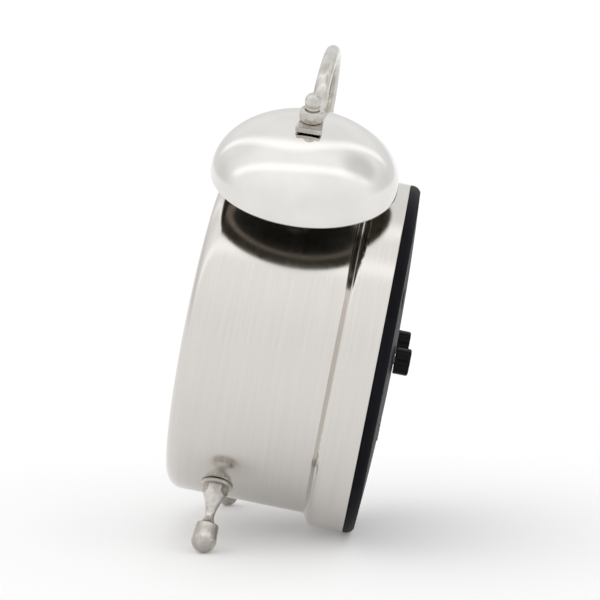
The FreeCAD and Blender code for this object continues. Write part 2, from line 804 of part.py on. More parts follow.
def foot_nuts():
    """Nuts inside the case that hold the feet."""
    nut = stand(nut_blank(-2.0, 3.2, STUD_NUT, STUD_HOLE_R), foot_point(BORE_R), foot_direction() * -1)
    return both(nut.common(barrel_tool(BORE_R - 0.02)))


# ==== window, dial and hands ======================================================================
def lens_gasket():
    """A soft ring between the case's lip and the glass."""
    inner = WINDOW_R + WALL + 0.1
    return turned(
        [
            (inner, FRONT_Y + WALL + 0.02, 0.0),
            (inner + 1.2, FRONT_Y + WALL + 0.3, 0.0),
            (inner + 1.2, LENS_FRONT_Y - 0.02, 0.1),
            (inner, LENS_FRONT_Y - 0.02, 0.0),
        ]
    )


def lens():
    """The flat glass."""
    back = LENS_FRONT_Y + LENS_T
    return turned([(0, LENS_FRONT_Y, 0), (LENS_R, LENS_FRONT_Y, 0.3), (LENS_R, back, 0.3), (0, back, 0)])


def dial_ring():
    """The tapered ring that keeps the glass off the dial."""
    front, back = LENS_FRONT_Y + LENS_T + 0.02, DIAL_FRONT_Y - 0.02
    return turned(
        [
            (LENS_R, front, 0.2),
            (LENS_R, back, 0.2),
            (40.4, back, 0.2),
            (42.0, front, 0.2),
        ]
    )


def dial():
    """The round dial sheet."""
    return ring(DIAL_R, TUBE_R + 0.1, DIAL_FRONT_Y, DIAL_FRONT_Y + DIAL_T)


def dial_nut():
    """The hexagonal nut on the movement's tube that clamps the dial."""
    nut = nut_blank(0.02, 2.0, 11.0, TUBE_R + 0.02)
    return stand(nut, BACK * DIAL_FRONT_Y, BACK * -1)


def pointer(tip, widest, widest_at, tail, tail_half, hub_r, bore, y, degrees):
    """A hand that swells and tapers to its tip, with a round hub; degrees run clockwise from 12."""
    outline = [
        (-tail_half, -tail, 0.0),
        (tail_half, -tail, 0.0),
        (0.7, 0.0, 0.0),
        (widest, widest_at, 0.0),
        (0.25, tip, 0.0),
        (-0.25, tip, 0.0),
        (-widest, widest_at, 0.0),
        (-0.7, 0.0, 0.0),
    ]
    blank = fuse([slab(outline, y, y + HAND_T), rod(hub_r, y, y + HAND_T)])
    hand = blank.cut(rod(bore, y - 1, y + HAND_T + 1))
    hand.rotate(ORIGIN, BACK, degrees)
    return hand


def hour_hand():
    """The broad short hand."""
    return pointer(24.0, 2.1, 17.0, 6.0, 1.3, 3.6, 2.61, HOUR_HAND_Y, HOUR_DEG)


def minute_hand():
    """The long hand."""
    return pointer(36.0, 1.7, 26.0, 7.0, 1.2, 3.0, 2.01, MINUTE_HAND_Y, MINUTE_DEG)


def second_hand():
    """The thin hand with its tail."""
    return pointer(37.0, 0.35, 8.0, 12.0, 0.9, 1.9, 0.81, SECOND_HAND_Y, SECOND_DEG)


def alarm_hand():
    """The short hand that marks the time of the alarm."""
    return pointer(15.0, 0.9, 11.0, 3.0, 0.7, 4.1, 3.21, ALARM_HAND_Y, ALARM_DEG)


# ==== chassis =====================================================================================
def chassis():
    """The frame behind the dial, with three long pillars for the cover and two posts for the striker."""
    front = DIAL_FRONT_Y + DIAL_T + 0.05
    back = front + CHASSIS_T
    plate = rod(DIAL_R, front, back)
    pillars = [rod(3.2, back, -1.05, x, z) for x, z in SCREW_POINTS]
    posts = [rod(2.2, back, BRACKET_FRONT_Y - 0.02, x, CRANK_Z) for x in BRACKET_POST_X]
    bores = [rod(1.22, -12, 0, x, z) for x, z in SCREW_POINTS]
    bores += [rod(0.92, BRACKET_FRONT_Y - 7, BRACKET_FRONT_Y + 1, x, CRANK_Z) for x in BRACKET_POST_X]
    windows = [slab([(-34, -34, 4), (-14, -38, 4), (-16, -24, 3), (-34, -24, 3)], front - 1, back + 1)]
    windows += [mirrored(windows[0])]
    pad = rod(CHASSIS_PAD_R, back, MOVE_FRONT_Y - 0.02)
    bores.append(rod(TUBE_R + 0.1, front - 1, MOVE_FRONT_Y))
    return cut(fuse([plate, pad] + pillars + posts), bores + windows)


# ==== movement ====================================================================================
def movement_shell(start, end, floor_start, floor_end):
    """A rectangular tray with one closed end."""
    outer = rounded_box(MOVE_HALF_W, MOVE_LOW_Z, MOVE_HIGH_Z, MOVE_CORNER_R, start, end)
    inner = rounded_box(
        MOVE_HALF_W - MOVE_WALL,
        MOVE_LOW_Z + MOVE_WALL,
        MOVE_HIGH_Z - MOVE_WALL,
        MOVE_CORNER_R - MOVE_WALL,
        floor_start,
        floor_end,
    )
    return outer.cut(inner)


def movement_front_case():
    """The front half of the movement's case, with the threaded tube, gear posts and plate pillars."""
    floor = MOVE_FRONT_Y + MOVE_WALL
    tray = movement_shell(MOVE_FRONT_Y, MOVE_SPLIT_Y, floor, MOVE_SPLIT_Y + 1)
    tube = rod(TUBE_R, TUBE_END_Y, MOVE_FRONT_Y + 0.5)
    pillars = [
        rod(1.6, floor - 0.5, PLATE_FRONT_Y, x, z)
        for x in (-26.0, 26.0)
        for z in (MOVE_LOW_Z + 3.5, MOVE_HIGH_Z - 3.5)
    ]
    posts = [rod(SHAFT_R, floor - 0.5, -30.4, *MINUTE_AT), rod(SHAFT_R, floor - 0.5, -33.3, *IDLER_AT)]
    boss = rod(2.4, floor - 0.5, -33.2, *TIME_SHAFT)
    solid = fuse([tray, tube] + pillars + posts + [boss])
    bores = [
        rod(3.25, TUBE_END_Y - 1, floor + 1),
        rod(SHAFT_R + RUN_CLEAR, floor, -33, *TIME_SHAFT),
        rod(0.8 + RUN_CLEAR, MOVE_FRONT_Y + 0.3, floor + 1, *ALARM_SHAFT),
    ]
    return cut(solid, bores)


def small_bearings():
    """Radius and place of the bearing holes that the plate and the rear case share."""
    wheel_hole = TRAIN_ARBOR_R + RUN_CLEAR
    return [(wheel_hole, THIRD_AT), (wheel_hole, FIFTH_AT), (ROTOR_ARBOR_R + RUN_CLEAR, ROTOR_AT)]


def train_plate():
    """The plate between the hand gears and the going train."""
    plate = rounded_box(
        MOVE_HALF_W - MOVE_WALL - 0.2,
        MOVE_LOW_Z + MOVE_WALL + 0.2,
        MOVE_HIGH_Z - MOVE_WALL - 0.2,
        MOVE_CORNER_R - MOVE_WALL,
        PLATE_FRONT_Y + 0.02,
        PLATE_FRONT_Y + PLATE_T,
    )
    holes = [(CANNON_R + RUN_CLEAR, CENTRE)] + small_bearings()
    holes += [(SHAFT_R + 0.3, TIME_SHAFT), (SHAFT_R + 0.3, ALARM_SHAFT)]
    return cut(plate, [rod(r, PLATE_FRONT_Y - 1, PLATE_FRONT_Y + PLATE_T + 1, *at) for r, at in holes])


def movement_rear_case():
    """The rear half of the movement's case, with the rear bearings."""
    floor = MOVE_BACK_Y - MOVE_WALL
    tray = movement_shell(MOVE_SPLIT_Y + 0.02, MOVE_BACK_Y, MOVE_SPLIT_Y - 1, floor)
    bearings = [(SECONDS_ARBOR_R + RUN_CLEAR, CENTRE)] + small_bearings()
    bores = [rod(r, floor - 1, floor + 0.7, *at) for r, at in bearings]
    bores += [rod(SHAFT_R + RUN_CLEAR, floor - 1, 0, *at) for at in (TIME_SHAFT, ALARM_SHAFT)]
    return cut(tray, bores)


CANNON_PHASE = 0.0
MINUTE_PHASE = meshing_phase(CANNON_TEETH, CANNON_PHASE, CENTRE, MINUTE_WHEEL_TEETH, MINUTE_AT)
SET_PHASE = meshing_phase(MINUTE_WHEEL_TEETH, MINUTE_PHASE, MINUTE_AT, SET_PINION_TEETH, TIME_SHAFT)
HOUR_PHASE = meshing_phase(MINUTE_PINION_TEETH, 0.0, MINUTE_AT, HOUR_WHEEL_TEETH, CENTRE)
IDLER_PHASE = meshing_phase(ALARM_WHEEL_TEETH, 0.0, CENTRE, IDLER_TEETH, IDLER_AT)
ALARM_SET_PHASE = meshing_phase(IDLER_TEETH, IDLER_PHASE, IDLER_AT, SET_PINION_TEETH, ALARM_SHAFT)
THIRD_PHASE = meshing_phase(SECONDS_PINION_TEETH, 0.0, CENTRE, THIRD_WHEEL_TEETH, THIRD_AT)
CENTRE_PHASE = meshing_phase(THIRD_PINION_TEETH, 0.0, THIRD_AT, CENTRE_WHEEL_TEETH, CENTRE)
FIFTH_PINION_PHASE = meshing_phase(SECONDS_WHEEL_TEETH, 0.0, CENTRE, FIFTH_PINION_TEETH, FIFTH_AT)
ROTOR_PHASE = meshing_phase(FIFTH_WHEEL_TEETH, 0.0, FIFTH_AT, ROTOR_PINION_TEETH, ROTOR_AT)
MOTOR_PHASE = meshing_phase(STRIKER_WHEEL_TEETH, 0.0, CRANK_AT, MOTOR_PINION_TEETH, MOTOR_AT)


def cannon_pinion():
    """The minute arbor: a tube that carries the minute hand, with its pinion."""
    tube = rod(CANNON_R, MINUTE_HAND_Y, -27.5)
    pinion = gear(CANNON_TEETH, SET_MODULE, CANNON_PHASE, *CANNON_PINION_Y)
    return fuse([tube, pinion]).cut(rod(SECONDS_ARBOR_R + RUN_CLEAR, MINUTE_HAND_Y - 1, -27))


def minute_wheel():
    """The wheel and pinion that step the cannon down to the hour wheel."""
    wheel = gear(MINUTE_WHEEL_TEETH, SET_MODULE, MINUTE_PHASE, *MINUTE_WHEEL_Y, MINUTE_AT)
    pinion = gear(MINUTE_PINION_TEETH, HOUR_MODULE, 0.0, *MINUTE_PINION_Y, MINUTE_AT)
    return fuse([wheel, pinion]).cut(rod(SHAFT_R + RUN_CLEAR, -35, -30, *MINUTE_AT))


def hour_wheel():
    """The hour tube and its wheel."""
    tube = rod(HOUR_TUBE_R, HOUR_HAND_Y, HOUR_WHEEL_Y[1])
    wheel = gear(HOUR_WHEEL_TEETH, HOUR_MODULE, HOUR_PHASE, *HOUR_WHEEL_Y)
    return fuse([tube, wheel]).cut(rod(CANNON_R + RUN_CLEAR, HOUR_HAND_Y - 1, -32))


def set_shaft(at, phase, levels, nose):
    """A long shaft from a setting pinion to its knob outside the cover."""
    pinion = gear(SET_PINION_TEETH, SET_MODULE, phase, *levels, at)
    return fuse([rod(SHAFT_R, levels[0] + 0.2, KNOB_BACK_Y - 1.1, *at), nose, pinion])


def time_set_shaft():
    """The shaft that turns the minute wheel."""
    nose = rod(SHAFT_R, -34.9, -31, *TIME_SHAFT)
    return set_shaft(TIME_SHAFT, SET_PHASE, CANNON_PINION_Y, nose)


def alarm_set_shaft():
    """The shaft that turns the alarm wheel through its idler."""
    nose = rod(0.8, -36.05, -34.5, *ALARM_SHAFT)
    return set_shaft(ALARM_SHAFT, ALARM_SET_PHASE, ALARM_SET_PINION_Y, nose)


def knob(at):
    """A fluted setting knob pressed on its shaft."""
    blank = turned(
        [
            (SHAFT_R + 0.01, KNOB_FRONT_Y, 0),
            (KNOB_R, KNOB_FRONT_Y, 0.3),
            (KNOB_R, KNOB_BACK_Y, 0.6),
            (0, KNOB_BACK_Y, 0),
            (0, KNOB_BACK_Y - 1.05, 0),
            (SHAFT_R + 0.01, KNOB_BACK_Y - 1.05, 0),
        ],
        Vector(at[0], 0, at[1]),
    )
    flutes = []
    for k in range(KNOB_FLUTES):
        x, z = beside(at, KNOB_R + 0.4, 360.0 * k / KNOB_FLUTES)
        flutes.append(rod(FLUTE_R, KNOB_FRONT_Y - 1, KNOB_BACK_Y + 1, x, z))
    return cut(blank, flutes)


def alarm_wheel():
    """The outer tube that carries the alarm hand, with its wheel."""
    tube = rod(ALARM_TUBE_R, ALARM_HAND_Y, ALARM_WHEEL_Y[1])
    wheel = gear(ALARM_WHEEL_TEETH, SET_MODULE, 0.0, *ALARM_WHEEL_Y)
    return fuse([tube, wheel]).cut(rod(HOUR_TUBE_R + RUN_CLEAR, ALARM_HAND_Y - 1, -34))


def alarm_idler():
    """The small wheel between the alarm-set shaft and the alarm wheel."""
    wheel = gear(IDLER_TEETH, SET_MODULE, IDLER_PHASE, *ALARM_WHEEL_Y, IDLER_AT)
    return wheel.cut(rod(SHAFT_R + RUN_CLEAR, -36, -33, *IDLER_AT))


def seconds_wheel():
    """The long arbor of the second hand, with its wheel and pinion."""
    arbor = rod(SECONDS_ARBOR_R, SECOND_HAND_Y - 0.2, ARBOR_END_Y)
    pinion = gear(SECONDS_PINION_TEETH, THIRD_MODULE, 0.0, *SECONDS_PINION_Y)
    wheel = gear(SECONDS_WHEEL_TEETH, FAST_MODULE, 0.0, *SECONDS_WHEEL_Y, steps=2)
    return fuse([arbor, pinion, wheel])


def arbored(wheel, pinion, radius, at):
    """A wheel and pinion on one arbor between the train plate and the rear case."""
    return fuse([wheel, pinion, rod(radius, PLATE_FRONT_Y + 0.2, ARBOR_END_Y, *at)])


def third_wheel():
    """The wheel between the seconds pinion and the centre wheel."""
    wheel = gear(THIRD_WHEEL_TEETH, THIRD_MODULE, THIRD_PHASE, *THIRD_WHEEL_Y, THIRD_AT, steps=2)
    pinion = gear(THIRD_PINION_TEETH, CENTRE_MODULE, 0.0, *THIRD_PINION_Y, THIRD_AT)
    return arbored(wheel, pinion, TRAIN_ARBOR_R, THIRD_AT)


def centre_wheel():
    """The wheel that drives the cannon pinion through a friction fit on its tail."""
    wheel = gear(CENTRE_WHEEL_TEETH, CENTRE_MODULE, CENTRE_PHASE, *CENTRE_WHEEL_Y, steps=2)
    hub = rod(3.0, -28.7, -27.6)
    return fuse([wheel, hub]).cut(rod(CANNON_R + RUN_CLEAR, -30, -27))


def fifth_wheel():
    """The wheel between the rotor and the seconds wheel."""
    wheel = gear(FIFTH_WHEEL_TEETH, FAST_MODULE, 0.0, *FIFTH_WHEEL_Y, FIFTH_AT, steps=2)
    pinion = gear(FIFTH_PINION_TEETH, FAST_MODULE, FIFTH_PINION_PHASE, *FIFTH_PINION_Y, FIFTH_AT)
    return arbored(wheel, pinion, TRAIN_ARBOR_R, FIFTH_AT)


def rotor():
    """The stepping motor's magnet on its arbor, with its pinion."""
    pinion = gear(ROTOR_PINION_TEETH, FAST_MODULE, ROTOR_PHASE, *ROTOR_PINION_Y, ROTOR_AT)
    return arbored(rod(1.9, *MAGNET_Y, *ROTOR_AT), pinion, ROTOR_ARBOR_R, ROTOR_AT)


def stator():
    """The stepping motor's steel frame, with a hole round the rotor's magnet."""
    x, z = ROTOR_AT
    bar = block(-14.5, 15.0, *STATOR_Y, z - 3.3, z + 3.3)
    hole = rod(2.4, -23, -18, x, z)
    notch = block(x + 3.2, 10.5, -22, -18, z - 4, z - 1.2)
    legs = [block(-14.5, -12.0, *STATOR_Y, COIL_Z - 1.6, z), block(12.5, 15.0, *STATOR_Y, COIL_Z - 1.6, z)]
    return cut(fuse([bar] + legs), [hole, notch, block(-12.0, 12.5, -22, -18, COIL_Z - 3, COIL_Z + 2.2)])


def coil_core():
    """The steel bar through the coil, lying across the ends of the stator."""
    return block(-14.5, 15.0, STATOR_Y[1] + 0.01, STATOR_Y[1] + 0.8, COIL_Z - 1.2, COIL_Z + 1.2)


def coil():
    """The copper winding on its core."""
    y = STATOR_Y[1] + 0.4
    winding = Part.makeCylinder(1.75, 16.0, Vector(-8.0, y, COIL_Z), ACROSS)
    flanges = [Part.makeCylinder(2.0, 0.8, Vector(x, y, COIL_Z), ACROSS) for x in (-8.8, 8.0)]
    solid = fuse([winding] + flanges)
    core = block(-20, 20, STATOR_Y[1] - 0.01, STATOR_Y[1] + 0.82, COIL_Z - 1.22, COIL_Z + 1.22)
    return solid.cut(core)


def circuit_board():
    """The small board that drives the coil."""
    return slab([(-26.5, 5.2, 0.5), (-3.2, 5.2, 0.5), (-3.2, 16.0, 0.5), (-26.5, 16.0, 0.5)], *BOARD_Y)


def driver_chip():
    """The driver under its cap."""
    cap = [(0, -1.2, 0), (2.6, -1.2, 0.8), (2.6, -0.02, 0), (0, -0.02, 0)]
    return turned(cap, Vector(-9.0, BOARD_Y[0], 10.5))


def quartz_crystal():
    """The tuning-fork crystal in its can."""
    return Part.makeCylinder(1.0, 6.0, Vector(-22.0, BOARD_Y[0] - 1.02, 13.0), ACROSS)


# ==== striker =====================================================================================
def striker_bracket():
    """The plate that carries the motor, the crank's axle and the hammer's pivot."""
    back = BRACKET_FRONT_Y + BRACKET_T
    outline = [
        (-23.0, 22.0, 1.5),
        (-17.0, 19.0, 1.5),
        (8.0, 19.0, 1.5),
        (15.5, 23.0, 1.5),
        (15.5, 31.0, 1.5),
        (5.0, 36.0, 1.5),
        (4.0, 41.5, 1.5),
        (-4.0, 41.5, 1.5),
        (-5.0, 35.0, 1.5),
        (-23.0, 32.0, 1.5),
    ]
    plate = slab(outline, BRACKET_FRONT_Y, back)
    axle = rod(1.0, CRANK_FRONT_Y + 0.9, BRACKET_FRONT_Y + 0.5, *CRANK_AT)
    holes = [rod(1.1, BRACKET_FRONT_Y - 1, back + 1, x, CRANK_Z) for x in BRACKET_POST_X]
    holes += [rod(1.9, BRACKET_FRONT_Y - 1, back + 1, *MOTOR_AT), rod(1.01, -30, -18, 0, HAMMER_PIVOT_Z)]
    return cut(fuse([plate, axle]), holes)


def bracket_screws():
    """Two screws that hold the bracket to the chassis posts."""
    back = BRACKET_FRONT_Y + BRACKET_T + 0.02
    screws = []
    for x in BRACKET_POST_X:
        head = rod(2.0, back, back + 1.4, x, CRANK_Z)
        shank = rod(0.9, BRACKET_FRONT_Y - 6, back, x, CRANK_Z)
        slot = block(x - 2.2, x + 2.2, back + 0.8, back + 2, CRANK_Z - 0.25, CRANK_Z + 0.25)
        screws.append(fuse([head, shank]).cut(slot))
    return Part.makeCompound(screws)


def striker_motor():
    """The motor's can and end cap."""
    front = BRACKET_FRONT_Y + BRACKET_T + 0.02
    can = turned(
        [
            (1.0, front, 0),
            (MOTOR_R, front, 0.8),
            (MOTOR_R, front + MOTOR_L, 0.5),
            (2.2, front + MOTOR_L, 0.2),
            (2.2, front + MOTOR_L + 1.0, 0.2),
            (0, front + MOTOR_L + 1.0, 0),
            (0, front + 6, 0),
            (1.0, front + 6, 0),
        ],
        Vector(MOTOR_AT[0], 0, MOTOR_AT[1]),
    )
    flats = [
        block(-30, 10, front - 1, front + 20, MOTOR_AT[1] + 5.0, MOTOR_AT[1] + 8),
        block(-30, 10, front - 1, front + 20, MOTOR_AT[1] - 8, MOTOR_AT[1] - 5.0),
    ]
    return cut(can, flats)


def motor_pinion():
    """The motor's shaft and brass pinion."""
    back = CRANK_FRONT_Y + 2.2
    pinion = gear(MOTOR_PINION_TEETH, STRIKER_MODULE, MOTOR_PHASE, CRANK_FRONT_Y, back, MOTOR_AT)
    return fuse([pinion, rod(0.75, CRANK_FRONT_Y + 0.1, BRACKET_FRONT_Y + 6, *MOTOR_AT)])


def crank_wheel():
    """The reduction wheel with the crank pin that flicks the hammer's fork."""
    wheel = gear(STRIKER_WHEEL_TEETH, STRIKER_MODULE, 0.0, CRANK_FRONT_Y, CRANK_FRONT_Y + 1.5, CRANK_AT)
    hub = rod(2.4, CRANK_FRONT_Y + 1, BRACKET_FRONT_Y - 0.2, *CRANK_AT)
    pin = rod(CRANK_PIN_R, CRANK_FRONT_Y - 2.8, CRANK_FRONT_Y + 0.5, 0, CRANK_Z + CRANK_THROW)
    return fuse([wheel, hub, pin]).cut(rod(1.0 + RUN_CLEAR, CRANK_FRONT_Y + 0.8, -20, *CRANK_AT))


def hammer_pivot():
    """The headed pin on which the hammer swings."""
    back = BRACKET_FRONT_Y + BRACKET_T
    return fuse([rod(1.0, -30.5, back, 0, HAMMER_PIVOT_Z), rod(1.7, -31.2, -30.4, 0, HAMMER_PIVOT_Z)])


def hammer_arm():
    """The hammer's hub, rod and forked tail."""
    front, back = BELL_Y - 0.8, BELL_Y + 0.8
    hub = rod(2.4, BELL_Y - 1.3, BELL_Y + 1.3, 0, HAMMER_PIVOT_Z)
    length = HAMMER_HEAD_Z - HAMMER_PIVOT_Z
    stem = Part.makeCylinder(HAMMER_ROD_R, length, Vector(0, BELL_Y, HAMMER_PIVOT_Z), UP)
    half = FORK_GAP_HALF + 1.4
    tail = slab(
        [
            (-1.5, HAMMER_PIVOT_Z, 0),
            (-1.5, 33.0, 1.0),
            (-half, 31.0, 1.0),
            (-half, 24.5, 0.5),
            (-FORK_GAP_HALF, 24.5, 0.5),
            (-FORK_GAP_HALF, 30.0, 0.8),
            (FORK_GAP_HALF, 30.0, 0.8),
            (FORK_GAP_HALF, 24.5, 0.5),
            (half, 24.5, 0.5),
            (half, 31.0, 1.0),
            (1.5, 33.0, 1.0),
            (1.5, HAMMER_PIVOT_Z, 0),
        ],
        front,
        back,
    )
    return fuse([hub, stem, tail]).cut(rod(1.0 + RUN_CLEAR, -32, -25, 0, HAMMER_PIVOT_Z))


def hammer_head():
    """The drum-shaped head, pressed on the rod between the bells."""
    start = Vector(-HAMMER_HEAD_L / 2, BELL_Y, HAMMER_HEAD_Z)
    head = turned(
        [
            (0, 0, 0),
            (HAMMER_HEAD_R, 0, 0.5),
            (HAMMER_HEAD_R, HAMMER_HEAD_L, 0.5),
            (0, HAMMER_HEAD_L, 0),
        ],
        start,
        ACROSS,
    )
    return head.cut(Part.makeCylinder(HAMMER_ROD_R, 6, Vector(0, BELL_Y, HAMMER_HEAD_Z - 6), UP))


# ==== battery, door and switch ====================================================================
def battery():
    """One AA cell with its raised positive end."""
    cell = turned(
        [
            (0, 0, 0),
            (CELL_R, 0, 0.6),
            (CELL_R, CELL_L, 0.8),
            (2.7, CELL_L, 0.0),
            (2.7, CELL_L + 1.2, 0.3),
            (0, CELL_L + 1.2, 0),
        ],
        Vector(-CELL_L / 2 + 0.3, CELL_Y, CELL_Z),
        ACROSS,
    )
    return cell


def contact_plate():
    """The flat positive contact."""
    x = TRAY_HALF_W - TRAY_WALL
    return block(x - 0.52, x - 0.02, CELL_Y - 4, CELL_Y + 4, CELL_Z - 5, CELL_Z + 5)


def contact_spring():
    """The conical negative contact spring."""
    wire_r = 0.3
    start_x = TRAY_WALL - TRAY_HALF_W + 0.02
    gap = -CELL_L / 2 + 0.3 - start_x
    helix = Part.makeHelix(gap / 3.2, gap - 2 * wire_r - 0.1, 4.2, 16)
    section = Part.Wire(Part.makeCircle(wire_r, Vector(4.2, 0, 0), Vector(0, 1, 0)))
    wire = Part.Wire(helix).makePipeShell([section], True, True)
    wire.Placement = Placement(Vector(start_x + wire_r + 0.05, CELL_Y, CELL_Z), Rotation(UP, ACROSS))
    return wire


def battery_door():
    """The snap-in door, curved with the cover, with grip ridges and a catch."""
    panel = dome_shell().common(door_box(0.0))
    ridges = []
    for k in range(5):
        z = CELL_Z + 5.6 - 1.3 * k
        ridges.append(block(-6, 6, 3.0, 4.75, z - 0.3, z + 0.3))
    catch = block(-4, 4, -1.0, 3.0, CELL_Z + DOOR_HALF_H - 1.6, CELL_Z + DOOR_HALF_H - 0.4)
    return fuse([panel] + ridges + [catch])


def alarm_switch():
    """The slider that turns the alarm on and off, flush with the cover, with its plate behind the slot."""
    stalk = rounded_box(1.6, SWITCH_Z - 1.25, SWITCH_Z + 1.25, 0.4, 2.0, 4.5)
    plate = rounded_box(8.2, SWITCH_Z - 3.5, SWITCH_Z + 3.5, 0.5, 1.3, 2.4)
    slider = fuse([stalk, plate])
    slider.translate(Vector(-SWITCH_TRAVEL / 2, 0, 0))
    return slider


# ==== assembly ====================================================================================
def build():
    """Every sub-part in the drum's frame, by name."""
    right_bell = bell()
    right_post = bell_post()
    right_foot = foot()
    return {
        "case_shell": case_shell(),
        "back_cover": back_cover(),
        "cover_screws": cover_screws(),
        "right_bell": right_bell,
        "left_bell": mirrored(right_bell),
        "right_bell_post": right_post,
        "left_bell_post": mirrored(right_post),
        "post_nuts": post_nuts(),
        "finials": both(finial()),
        "handle": handle(),
        "right_foot": right_foot,
        "left_foot": mirrored(right_foot),
        "foot_washers": foot_washers(),
        "foot_nuts": foot_nuts(),
        "lens_gasket": lens_gasket(),
        "lens": lens(),
        "dial_ring": dial_ring(),
        "dial": dial(),
        "dial_nut": dial_nut(),
        "hour_hand": hour_hand(),
        "minute_hand": minute_hand(),
        "second_hand": second_hand(),
        "alarm_hand": alarm_hand(),
        "chassis": chassis(),
        "movement_front_case": movement_front_case(),
        "train_plate": train_plate(),
        "movement_rear_case": movement_rear_case(),
        "cannon_pinion": cannon_pinion(),
        "minute_wheel": minute_wheel(),
        "hour_wheel": hour_wheel(),
        "time_set_shaft": time_set_shaft(),
        "time_set_knob": knob(TIME_SHAFT),
        "alarm_wheel": alarm_wheel(),
        "alarm_idler": alarm_idler(),
        "alarm_set_shaft": alarm_set_shaft(),
        "alarm_set_knob": knob(ALARM_SHAFT),
        "seconds_wheel": seconds_wheel(),
        "third_wheel": third_wheel(),
        "centre_wheel": centre_wheel(),
        "fifth_wheel": fifth_wheel(),
        "rotor": rotor(),
        "stator": stator(),
        "coil_core": coil_core(),
        "coil": coil(),
        "circuit_board": circuit_board(),
        "driver_chip": driver_chip(),
        "quartz_crystal": quartz_crystal(),
        "striker_bracket": striker_bracket(),
        "bracket_screws": bracket_screws(),
        "striker_motor": striker_motor(),
        "motor_pinion": motor_pinion(),
        "crank_wheel": crank_wheel(),
        "hammer_pivot": hammer_pivot(),
        "hammer_arm": hammer_arm(),
        "hammer_head": hammer_head(),
        "battery": battery(),
        "battery_contacts": Part.makeCompound([contact_plate(), contact_spring()]),
        "battery_door": battery_door(),
        "alarm_switch": alarm_switch(),
    }


def stance(parts):
    """The placement that leans the clock back and sets the middle of its base on the origin."""
    leaned = Placement(ORIGIN, Rotation(ACROSS, -LEAN_DEG))
    whole = Part.makeCompound(list(parts.values()))
    whole.Placement = leaned.multiply(whole.Placement)
    box = whole.optimalBoundingBox(False, False)
    shift = Vector(-(box.XMin + box.XMax) / 2, -(box.YMin + box.YMax) / 2, -box.ZMin)
    return Placement(shift, Rotation(ACROSS, -LEAN_DEG))


def main():
    """Builds, checks, places and writes every sub-part."""
    os.makedirs("parts", exist_ok=True)
    parts = build()
    placement = stance(parts)
    for name, shape in parts.items():
        placed = shape.copy()
        placed.Placement = placement.multiply(placed.Placement)
        if not placed.isValid():
            print("not valid:", name)
        print(f"{name}: {len(placed.Solids)} solid(s), {placed.Volume:.1f} mm3")
        placed.exportStep(f"parts/{name}.step")
    print("stance shift", placement.Base)


if __name__ == "__main__":
    main()
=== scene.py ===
"""Looks for the twin-bell alarm clock: finishes, dial printing, floor, tent of light and camera."""

import json
import math

import bmesh
import bpy
import numpy as np
from mathutils import Matrix, Vector


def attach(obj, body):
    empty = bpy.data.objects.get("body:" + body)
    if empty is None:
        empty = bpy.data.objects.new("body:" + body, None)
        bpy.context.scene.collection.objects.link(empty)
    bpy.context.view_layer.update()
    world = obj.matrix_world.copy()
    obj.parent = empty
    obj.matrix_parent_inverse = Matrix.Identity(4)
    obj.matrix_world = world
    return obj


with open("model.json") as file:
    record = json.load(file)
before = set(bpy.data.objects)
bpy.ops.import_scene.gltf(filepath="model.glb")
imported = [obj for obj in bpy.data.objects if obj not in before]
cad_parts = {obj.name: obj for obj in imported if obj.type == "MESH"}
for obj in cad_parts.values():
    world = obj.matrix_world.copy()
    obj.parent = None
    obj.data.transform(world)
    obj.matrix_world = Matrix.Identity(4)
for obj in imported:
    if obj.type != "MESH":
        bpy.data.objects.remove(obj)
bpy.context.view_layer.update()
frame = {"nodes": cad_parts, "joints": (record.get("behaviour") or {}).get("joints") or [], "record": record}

MM = 0.001

# ---- camera, aimed at a point in the drum's own frame ----------------------------------------------
HUB_BACK = -38.0 * MM
AIM_BACK = -24.37 * MM
AIM_UP = 11.99 * MM
CAMERA_AZIMUTH = 93.17
CAMERA_ELEVATION = 4.6
CAMERA_DISTANCE = 525 * MM
CAMERA_CLIP_START = 10 * MM
SENSOR_MM = 36.0
LENS_MM = 111.3

# ---- tent of light: its brightness by direction, where x, y and z make a unit vector ---------------
TENT_LOW = 1.03
TENT_NEAR_HIGH = 1.12
TENT_FAR_LOW = 0.83
TENT_FAR_HIGH = 0.97
NEAR_RISE_Z = (0.1, 0.8)
FAR_DIP_Z = (0.09, 0.2)
FAR_RISE_Z = (0.3, 0.65)
NEAR_SIDE_X = (-0.35, 0.2)
# two soft bright bands across its roof: offset along x, bend, half width and extra brightness
BANDS = ((0.46, 0.5, 0.15, 0.28), (-0.03, 1.5, 0.2, 0.33))
BANDS_START_Z = (0.3, 0.55)
# one dimmer patch: its direction, how near to it the dimming starts and is full, and the change there
DIM_PATCH = (-0.05, 0.72, 0.69)
DIM_PATCH_SPAN = (0.93, 0.995)
DIM_PATCH_DEPTH = -0.27

# ---- table top -------------------------------------------------------------------------------------
FLOOR_RADIUS = 6.0
FLOOR_SEGMENTS = 128
FLOOR_ALBEDO = 0.83
FLOOR_ROUGHNESS = (0.75, 0.9)
FLOOR_GRAIN_MM = 2.0
FLOOR_GRAIN_DEPTH_MM = 0.02
FLOOR_SPECULAR = 0.1
FLOOR_GLOW = 0.14

# ---- brush marks of the satin metals: sizes in mm, and how much each kind counts -------------------
BRUSH_FINE_MM = 0.16
BRUSH_COARSE_MM = 0.9
BRUSH_RUN_MM = 26
BRUSH_DEPTH_MM = 0.0012
BRUSH_FINE_SHARE = 0.55
BRUSH_COARSE_SHARE = 0.45
PLATING_BLOTCH = 34.0

